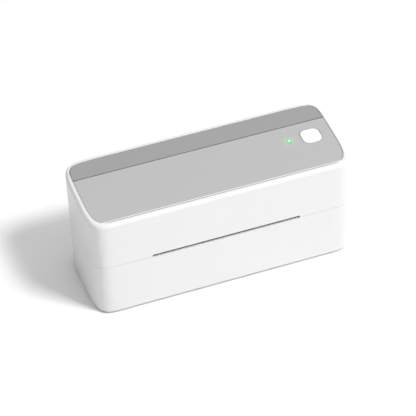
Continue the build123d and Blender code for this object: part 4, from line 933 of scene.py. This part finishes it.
def glow(skin, reach, steps):
    """Light round the pipe's axis that runs through (share of the reach, colour) steps."""
    tree = skin.node_tree
    shader = tree.nodes["Principled BSDF"]
    share = put(tree, "ShaderNodeGroup", node_tree=halo)
    share.inputs["Centre"].default_value = (light_centre.x, light_centre.y, 0)
    share.inputs["Reach"].default_value = reach
    wire(colour_steps(tree, share.outputs["Share"], steps), shader.inputs["Emission Color"])
    shader.inputs["Emission Strength"].default_value = 1.0


def colour_steps(tree, value, steps):
    """A colour that runs through (place, colour) steps."""
    ramp = put(tree, "ShaderNodeValToRGB")
    points = ramp.color_ramp.elements
    while len(points) < len(steps):
        points.new(0.5)
    for point, (place, colour) in zip(points, steps):
        point.position = place
        point.color = (*colour, 1)
    wire(value, ramp.inputs["Fac"])
    return ramp.outputs["Color"]


# Widths of the painted gap shade round the grey panels, and the reach of the painted shadow and highlight
# along their front edge.
panel_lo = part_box("top_panel_front")[0]
gap_shade_width = 0.0007
left_gap_shade_width = 0.0015
front_highlight_reach = 0.004
front_highlight_share = 0.45


def paint_gap_shade(skin, gap_shade_tone):
    """Painted gap shade round a panel: a dark band at its edges, wider at the left end; along its front a
    painted highlight line stands behind a painted shadow.
    """
    tree = skin.node_tree
    shader = tree.nodes["Principled BSDF"]
    base = shader.inputs["Base Color"].links[0].from_socket
    place = put(tree, "ShaderNodeTexCoord")
    split = put(tree, "ShaderNodeSeparateXYZ")
    wire(place.outputs["Object"], split.inputs["Vector"])
    gap_shade_mask = put(tree, "ShaderNodeGroup", node_tree=edge_mask_tree)
    gap_shade_mask.inputs["Gain"].default_value = 60.0
    at_left = sums(tree, "LESS_THAN", split.outputs["X"], panel_lo.x + front_highlight_reach)
    extra = sums(tree, "MULTIPLY", at_left, left_gap_shade_width - gap_shade_width)
    wire(sums(tree, "ADD", extra, gap_shade_width), gap_shade_mask.inputs["Width"])
    gap_shaded = put(tree, "ShaderNodeMix", data_type="RGBA")
    gap_shaded.inputs[7].default_value = (gap_shade_tone, gap_shade_tone, gap_shade_tone, 1)
    wire(gap_shade_mask.outputs["Mask"], gap_shaded.inputs[0])
    wire(base, gap_shaded.inputs[6])
    from_front = sums(tree, "SUBTRACT", split.outputs["Y"], panel_lo.y)
    # Along the front edge: a painted shadow, then a painted highlight line.
    front_highlight_tone = colour_steps(tree, sums(tree, "DIVIDE", from_front, front_highlight_reach), (
        (0.0, (0.3, 0.3, 0.3)), (0.2, (0.33, 0.33, 0.33)),
        (0.28, (0.82, 0.82, 0.82)), (1.0, (0.82, 0.82, 0.82)),
    ))
    front_highlighted = put(tree, "ShaderNodeMix", data_type="RGBA")
    wire(sums(tree, "LESS_THAN", from_front, front_highlight_reach * front_highlight_share), front_highlighted.inputs[0])
    wire(gap_shaded.outputs[2], front_highlighted.inputs[6])
    wire(front_highlight_tone, front_highlighted.inputs[7])
    wire(front_highlighted.outputs[2], shader.inputs["Base Color"])


panel_grey = finish("panel_grey", (0.475, 0.475, 0.475), shade=0.97, roughness=0.42, spread=0.03, grains=5000,
                    mottle=12, depth=0.000004)
strip_grey = finish("strip_grey", (0.335, 0.335, 0.342), shade=0.96, roughness=0.42, spread=0.03, grains=5000,
                    mottle=12, depth=0.000004)
# Both grey panels get the painted gap shade and the painted front highlight.
for skin in (panel_grey, strip_grey):
    paint_gap_shade(skin, 0.03)
glow(panel_grey, 0.008, (
    (0.0, (0.0, 0.35, 0.01)), (0.29, (0.0, 0.3, 0.01)), (0.36, (0.0, 0.06, 0.004)), (1.0, (0, 0, 0)),
))
smooth_copy("top_panel_front", "front_top_panel", panel_grey, "grey_panel")
smooth_copy("top_panel_rear", "rear_top_panel", strip_grey, "grey_panel")

# ---------------------------------------------------------------- button and status light
# A white feed button over a push switch, and a clear light pipe over a green
# diode, both on a small board screwed under the shell.
button_white = finish("button_white", (0.93, 0.93, 0.93), shade=0.99, roughness=0.3, spread=0.02, grains=3000,
                      depth=0.000003, edge=(0.95, 0.95, 0.95))
smooth_copy("button_cap", "feed_key", button_white, "white_button")
smooth_copy("switch_plunger", "push_switch_stem", acetal, "acetal")

pipe_glow = finish("pipe_glow", (0.01, 0.12, 0.015), shade=0.95, roughness=0.37, grains=4000, depth=0.000002)
glow(pipe_glow, 0.0018, (
    (0.0, (1.0, 1.0, 1.0)), (0.5, (0.95, 1.0, 0.95)), (0.7, (0.03, 0.55, 0.05)), (1.0, (0.01, 0.45, 0.02)),
))
smooth_copy("light_pipe", "status_light", pipe_glow, "clear_light")

smooth_copy("button_board", "key_board", epoxy_green, "circuit_board")
smooth_copy("push_switch", "push_switch_body", socket_black, "black_plastic")
diode_clear = finish("diode_clear", (0.45, 0.9, 0.5), roughness=0.37, grains=4000, depth=0.000002)
smooth_copy("status_led", "light_diode", diode_clear, "clear_light")

# ---------------------------------------------------------------- lid frame
# Ribbed dark grey frame screwed up into the lid. It hangs the upper paper
# guide, the two snap hooks and the print head.
frame_grey = finish("frame_grey", (0.2, 0.2, 0.21), shade=0.92, roughness=0.5, grains=2000, depth=0.00002,
                    edge=(0.3, 0.3, 0.31))
smooth_copy("lid_frame", "inner_frame", frame_grey, "grey_plastic")
smooth_copy("upper_paper_guide", "ribbed_guide", ledge_black, "black_plastic")
smooth_copy("left_snap_hook", "left_catch_hook", acetal, "acetal")
smooth_copy("right_snap_hook", "right_catch_hook", acetal, "acetal")

# ---------------------------------------------------------------- print head
# A finned aluminium sink carries the ceramic strip, with its glazed heater
# line, and the black resin over its driver chips. It floats on a steel
# bracket that two leaf springs press down.
aluminium = finish("aluminium", (0.75, 0.76, 0.77), shade=0.88, roughness=0.36, metal=1.0, grains=1800,
                   stretch=(0.1, 3, 3), depth=0.000006, edge=(0.9, 0.9, 0.92), edge_width=0.0003)
sink_tree, sink_in, sink_out = geometry_tree("finned_sink", [
    ("Length", "NodeSocketFloat"), ("Depth", "NodeSocketFloat"), ("Slab", "NodeSocketFloat"),
    ("Height", "NodeSocketFloat"), ("Fins", "NodeSocketInt"), ("Fin pitch", "NodeSocketFloat"),
    ("Fin thickness", "NodeSocketFloat"), ("Place", "NodeSocketVector"), ("Material", "NodeSocketMaterial"),
])
sink_join = put(sink_tree, "GeometryNodeJoinGeometry")
sink_slab = put(sink_tree, "GeometryNodeMeshCube")
sink_slab_size = put(sink_tree, "ShaderNodeCombineXYZ")
sink_slab_up = put(sink_tree, "ShaderNodeCombineXYZ")
sink_slab_move = put(sink_tree, "GeometryNodeTransform")
for axis, label in (("X", "Length"), ("Y", "Depth"), ("Z", "Slab")):
    wire(sink_in.outputs[label], sink_slab_size.inputs[axis])
wire(sums(sink_tree, "MULTIPLY", sink_in.outputs["Slab"], 0.5), sink_slab_up.inputs["Z"])
wire(sink_slab_size.outputs["Vector"], sink_slab.inputs["Size"])
wire(sink_slab.outputs["Mesh"], sink_slab_move.inputs["Geometry"])
wire(sink_slab_up.outputs["Vector"], sink_slab_move.inputs["Translation"])
wire(sink_slab_move.outputs["Geometry"], sink_join.inputs["Geometry"])
sink_row = put(sink_tree, "GeometryNodeMeshLine")
sink_row_start = put(sink_tree, "ShaderNodeCombineXYZ")
sink_row_step = put(sink_tree, "ShaderNodeCombineXYZ")
sink_span = sums(sink_tree, "MULTIPLY", sink_in.outputs["Fin pitch"],
                 sums(sink_tree, "SUBTRACT", sink_in.outputs["Fins"], 1.0))
wire(sums(sink_tree, "MULTIPLY", sink_span, -0.5), sink_row_start.inputs["Y"])
wire(sums(sink_tree, "MULTIPLY", sink_in.outputs["Height"], 0.5), sink_row_start.inputs["Z"])
wire(sink_in.outputs["Fin pitch"], sink_row_step.inputs["Y"])
wire(sink_in.outputs["Fins"], sink_row.inputs["Count"])
wire(sink_row_start.outputs["Vector"], sink_row.inputs["Start Location"])
wire(sink_row_step.outputs["Vector"], sink_row.inputs["Offset"])
sink_fin = put(sink_tree, "GeometryNodeMeshCube")
sink_fin_size = put(sink_tree, "ShaderNodeCombineXYZ")
for axis, label in (("X", "Length"), ("Y", "Fin thickness"), ("Z", "Height")):
    wire(sink_in.outputs[label], sink_fin_size.inputs[axis])
wire(sink_fin_size.outputs["Vector"], sink_fin.inputs["Size"])
sink_fins = put(sink_tree, "GeometryNodeInstanceOnPoints")
wire(sink_row.outputs["Mesh"], sink_fins.inputs["Points"])
wire(sink_fin.outputs["Mesh"], sink_fins.inputs["Instance"])
wire(sink_fins.outputs["Instances"], sink_join.inputs["Geometry"])
sink_place = put(sink_tree, "GeometryNodeTransform")
wire(sink_join.outputs["Geometry"], sink_place.inputs["Geometry"])
wire(sink_in.outputs["Place"], sink_place.inputs["Translation"])
close_tree(sink_tree, sink_place.outputs["Geometry"], sink_in, sink_out)

(cover_lo, cover_hi), (strip_lo, strip_hi), (sink_lo, sink_hi) = sorted(
    loose_boxes("print_head"), key=lambda box: (box[1].z, box[1].x),
)
sink_gap = 0.00001
grow(sink_tree, "head_sink", {
    "Length": sink_hi.x - sink_lo.x, "Depth": sink_hi.y - sink_lo.y, "Slab": 0.0028,
    "Height": sink_hi.z - sink_lo.z - sink_gap, "Fins": 7, "Fin pitch": 0.003, "Fin thickness": 0.0014,
    "Place": (0, (sink_lo.y + sink_hi.y) / 2, sink_lo.z), "Material": aluminium,
}, "head", "aluminium", ("print_head",))


def soft_block(name, low, high, bevel, skin, body, slot, *nodes):
    """A block with rounded edges."""
    work = bmesh.new()
    bmesh.ops.create_cube(work, size=1.0)
    for vertex in work.verts:
        for axis in range(3):
            vertex.co[axis] = low[axis] if vertex.co[axis] < 0 else high[axis]
    bmesh.ops.bevel(work, geom=work.edges, offset=bevel, segments=3, affect="EDGES", profile=0.5)
    mesh = bpy.data.meshes.new(name)
    work.to_mesh(mesh)
    work.free()
    mesh.materials.append(skin)
    shade(mesh)
    piece = bpy.data.objects.new(name, mesh)
    studio.collection.objects.link(piece)
    return settle(piece, body, slot, *nodes)


# The strip is pale alumina; a brown resistor line and its gold leads cross it.
alumina = finish("alumina", (0.82, 0.81, 0.77), shade=0.96, roughness=0.38, grains=4000, depth=0.000002)
alumina_tree = alumina.node_tree
alumina_shader = alumina_tree.nodes["Principled BSDF"]
alumina_base = alumina_shader.inputs["Base Color"].links[0].from_socket
alumina_place = put(alumina_tree, "ShaderNodeTexCoord")
alumina_split = put(alumina_tree, "ShaderNodeSeparateXYZ")
alumina_share = put(alumina_tree, "ShaderNodeMapRange")
alumina_share.inputs["From Min"].default_value = strip_lo.y
alumina_share.inputs["From Max"].default_value = strip_hi.y
heater_at = (platen_axis.y - strip_lo.y) / (strip_hi.y - strip_lo.y)
wire(alumina_place.outputs["Object"], alumina_split.inputs["Vector"])
wire(alumina_split.outputs["Y"], alumina_share.inputs["Value"])
alumina_lines = put(alumina_tree, "ShaderNodeMath", operation="SINE")
lead_pitch = 0.0005
lead_gap = 0.2
heater_half_share = 0.03
lead_rate = 2 * math.pi / lead_pitch
wire(sums(alumina_tree, "MULTIPLY", alumina_split.outputs["X"], lead_rate), alumina_lines.inputs[0])
alumina_stripes = sums(alumina_tree, "GREATER_THAN", alumina_lines.outputs[0], lead_gap)
alumina_behind = sums(alumina_tree, "GREATER_THAN", alumina_share.outputs["Result"], heater_at)
alumina_leads = sums(alumina_tree, "MULTIPLY", alumina_stripes, alumina_behind)
alumina_gold = put(alumina_tree, "ShaderNodeMix", data_type="RGBA")
alumina_gold.inputs[7].default_value = (0.72, 0.55, 0.22, 1)
wire(alumina_leads, alumina_gold.inputs[0])
wire(alumina_base, alumina_gold.inputs[6])
alumina_heater = put(alumina_tree, "ShaderNodeMix", data_type="RGBA")
alumina_heater.inputs[7].default_value = (0.2, 0.11, 0.06, 1)
alumina_line = sums(alumina_tree, "COMPARE", alumina_share.outputs["Result"], heater_at, heater_half_share)
wire(alumina_line, alumina_heater.inputs[0])
wire(alumina_gold.outputs[2], alumina_heater.inputs[6])
wire(alumina_heater.outputs[2], alumina_shader.inputs["Base Color"])
driver_resin = finish("driver_resin", (0.02, 0.02, 0.021), roughness=0.38, grains=900, mottle=200,
                      depth=0.00004, edge=(0.05, 0.05, 0.05))
strip_bevel, cover_bevel = 0.0001, 0.00045
soft_block("ceramic_strip", strip_lo, strip_hi, strip_bevel, alumina, "head", "header_white", "print_head")
soft_block("driver_resin_bar", cover_lo, cover_hi, cover_bevel, driver_resin, "head", "chip_black",
           "print_head")

smooth_copy("head_bracket", "head_carrier", zinc_plate, "steel_plate")
smooth_copy("head_connector", "head_socket", header_nylon, "header_white")
smooth_copy("head_pivot_shaft", "head_pivot", bright_steel, "steel_pin")
spring_steel = finish("spring_steel", (0.6, 0.6, 0.62), shade=0.88, roughness=0.37, metal=1.0, grains=2500,
                      stretch=(1, 0.2, 1), depth=0.000004, edge=(0.9, 0.9, 0.9))
smooth_copy("head_springs", "leaf_springs", spring_steel, "steel_plate")

# ---------------------------------------------------------------- screws
# Cross-head machine screws in zinc-plated steel. One tree makes the screw, its
# rolled thread and its recess, and sets one at every place.
screw_tree, screw_in, screw_out = geometry_tree("cross_head_screws", [
    ("Head radius", "NodeSocketFloat"), ("Head height", "NodeSocketFloat"),
    ("Shank radius", "NodeSocketFloat"), ("Shank length", "NodeSocketFloat"),
    ("Thread pitch", "NodeSocketFloat"), ("Material", "NodeSocketMaterial"),
])
screw_head = put(screw_tree, "GeometryNodeMeshCylinder", vertices=20)
wire(screw_in.outputs["Head radius"], screw_head.inputs["Radius"])
wire(screw_in.outputs["Head height"], screw_head.inputs["Depth"])
screw_here = put(screw_tree, "GeometryNodeInputPosition")
screw_split = put(screw_tree, "ShaderNodeSeparateXYZ")
wire(screw_here.outputs["Position"], screw_split.inputs["Vector"])
screw_taper = sums(screw_tree, "SUBTRACT", 1.0, sums(
    screw_tree, "MULTIPLY", sums(screw_tree, "GREATER_THAN", screw_split.outputs["Z"], 0.0), 0.22,
))
screw_narrow = put(screw_tree, "ShaderNodeCombineXYZ")
for axis in "XY":
    wire(sums(screw_tree, "MULTIPLY", screw_split.outputs[axis], screw_taper), screw_narrow.inputs[axis])
wire(sums(screw_tree, "ADD", screw_split.outputs["Z"], sums(
    screw_tree, "MULTIPLY", screw_in.outputs["Head height"], 0.5)), screw_narrow.inputs["Z"])
screw_pan = put(screw_tree, "GeometryNodeSetPosition")
wire(screw_head.outputs["Mesh"], screw_pan.inputs["Geometry"])
wire(screw_narrow.outputs["Vector"], screw_pan.inputs["Position"])
screw_recess = put(screw_tree, "GeometryNodeMeshBoolean", operation="DIFFERENCE")
wire(screw_pan.outputs["Geometry"], screw_recess.inputs[0])
screw_top = put(screw_tree, "ShaderNodeCombineXYZ")
wire(screw_in.outputs["Head height"], screw_top.inputs["Z"])
for long_axis, short_axis in (("X", "Y"), ("Y", "X")):
    slot_cube = put(screw_tree, "GeometryNodeMeshCube")
    slot_size = put(screw_tree, "ShaderNodeCombineXYZ")
    slot_move = put(screw_tree, "GeometryNodeTransform")
    wire(sums(screw_tree, "MULTIPLY", screw_in.outputs["Head radius"], 1.1), slot_size.inputs[long_axis])
    wire(sums(screw_tree, "MULTIPLY", screw_in.outputs["Head radius"], 0.25), slot_size.inputs[short_axis])
    wire(screw_in.outputs["Head height"], slot_size.inputs["Z"])
    wire(slot_size.outputs["Vector"], slot_cube.inputs["Size"])
    wire(slot_cube.outputs["Mesh"], slot_move.inputs["Geometry"])
    wire(screw_top.outputs["Vector"], slot_move.inputs["Translation"])
    wire(slot_move.outputs["Geometry"], screw_recess.inputs[1])
screw_ring = put(screw_tree, "GeometryNodeMeshCone", vertices=12, fill_type="NGON")
wire(screw_in.outputs["Shank radius"], screw_ring.inputs["Radius Top"])
wire(sums(screw_tree, "MULTIPLY", screw_in.outputs["Shank radius"], 0.78),
     screw_ring.inputs["Radius Bottom"])
wire(sums(screw_tree, "MULTIPLY", screw_in.outputs["Thread pitch"], 1.02), screw_ring.inputs["Depth"])
screw_turns = put(screw_tree, "GeometryNodeMeshLine")
screw_first = put(screw_tree, "ShaderNodeCombineXYZ")
screw_next = put(screw_tree, "ShaderNodeCombineXYZ")
screw_down = sums(screw_tree, "MULTIPLY", screw_in.outputs["Thread pitch"], -1.0)
wire(screw_down, screw_first.inputs["Z"])
wire(screw_down, screw_next.inputs["Z"])
wire(sums(screw_tree, "FLOOR", sums(
    screw_tree, "DIVIDE", screw_in.outputs["Shank length"], screw_in.outputs["Thread pitch"])),
    screw_turns.inputs["Count"])
wire(screw_first.outputs["Vector"], screw_turns.inputs["Start Location"])
wire(screw_next.outputs["Vector"], screw_turns.inputs["Offset"])
screw_thread = put(screw_tree, "GeometryNodeInstanceOnPoints")
wire(screw_turns.outputs["Mesh"], screw_thread.inputs["Points"])
wire(screw_ring.outputs["Mesh"], screw_thread.inputs["Instance"])
screw_whole = put(screw_tree, "GeometryNodeJoinGeometry")
wire(screw_recess.outputs["Mesh"], screw_whole.inputs["Geometry"])
wire(screw_thread.outputs["Instances"], screw_whole.inputs["Geometry"])
screw_way = put(screw_tree, "GeometryNodeInputNamedAttribute", data_type="FLOAT_VECTOR")
screw_way.inputs["Name"].default_value = "way"
screw_turn = put(screw_tree, "FunctionNodeAlignRotationToVector", axis="Z")
wire(screw_way.outputs["Attribute"], screw_turn.inputs["Vector"])
screw_set = put(screw_tree, "GeometryNodeInstanceOnPoints")
wire(screw_in.outputs["Geometry"], screw_set.inputs["Points"])
wire(screw_whole.outputs["Geometry"], screw_set.inputs["Instance"])
wire(screw_turn.outputs["Rotation"], screw_set.inputs["Rotation"])
close_tree(screw_tree, screw_set.outputs["Instances"], screw_in, screw_out)

screw_zinc = finish("screw_zinc", (0.7, 0.7, 0.69), shade=0.85, roughness=0.37, metal=1.0, grains=3000,
                    depth=0.000003, edge=(0.9, 0.9, 0.9), edge_width=0.0002)


shank_radius = 0.0013
thread_pitch = 0.0005


def set_screws(name, node, way, head_height, shortest=0.0, longest=1.0, outward=False):
    """Screws in place of a node's solids of some lengths; way points from the tip to the head."""
    axis = max(range(3), key=lambda number: abs(way[number]))
    across = [number for number in range(3) if number != axis]
    points, ways, sizes = [], [], {}
    for low, high in loose_boxes(node):
        length = high[axis] - low[axis]
        if not shortest < length < longest:
            continue
        facing = Vector(way)
        if outward and low.x < 0:
            facing = -facing
        middle = (low + high) / 2
        seat = middle + facing * (length / 2 - head_height)
        points.append(seat)
        ways.append(facing)
        sizes = {
            "Head radius": (high[across[0]] - low[across[0]]) / 2, "Head height": head_height,
            "Shank radius": shank_radius, "Shank length": length - head_height, "Thread pitch": thread_pitch,
            "Material": screw_zinc,
        }
    grow(screw_tree, name, sizes, body_of[node], "screw_steel", (node,),
         start=points_mesh(name, points, ways))


joint_way = {joint["name"]: Vector(joint["axis"]) for joint in frame["record"]["behaviour"]["joints"]}
button_way = joint_way["feed_button_press"]
set_screws("chassis_fixings", "chassis_screws", (0, 0, -1), head_height=0.0012)
set_screws("deck_fixings", "deck_screws", (1, 0, 0), head_height=0.0012, outward=True)
set_screws("motor_fixings", "motor_screws", (-1, 0, 0), head_height=0.0012)
set_screws("board_fixings", "board_screws", (0, 0, 1), head_height=0.0015)
set_screws("frame_fixings", "lid_screws", (0, 0, -1), head_height=0.0015, shortest=0.009)
set_screws("spring_fixings", "lid_screws", (0, 0, -1), head_height=0.0012, longest=0.005)
set_screws("key_board_fixings", "lid_screws", button_way, head_height=0.0012, shortest=0.005, longest=0.009)
set_screws("head_fixings", "head_screws", (0, 0, 1), head_height=0.0013)
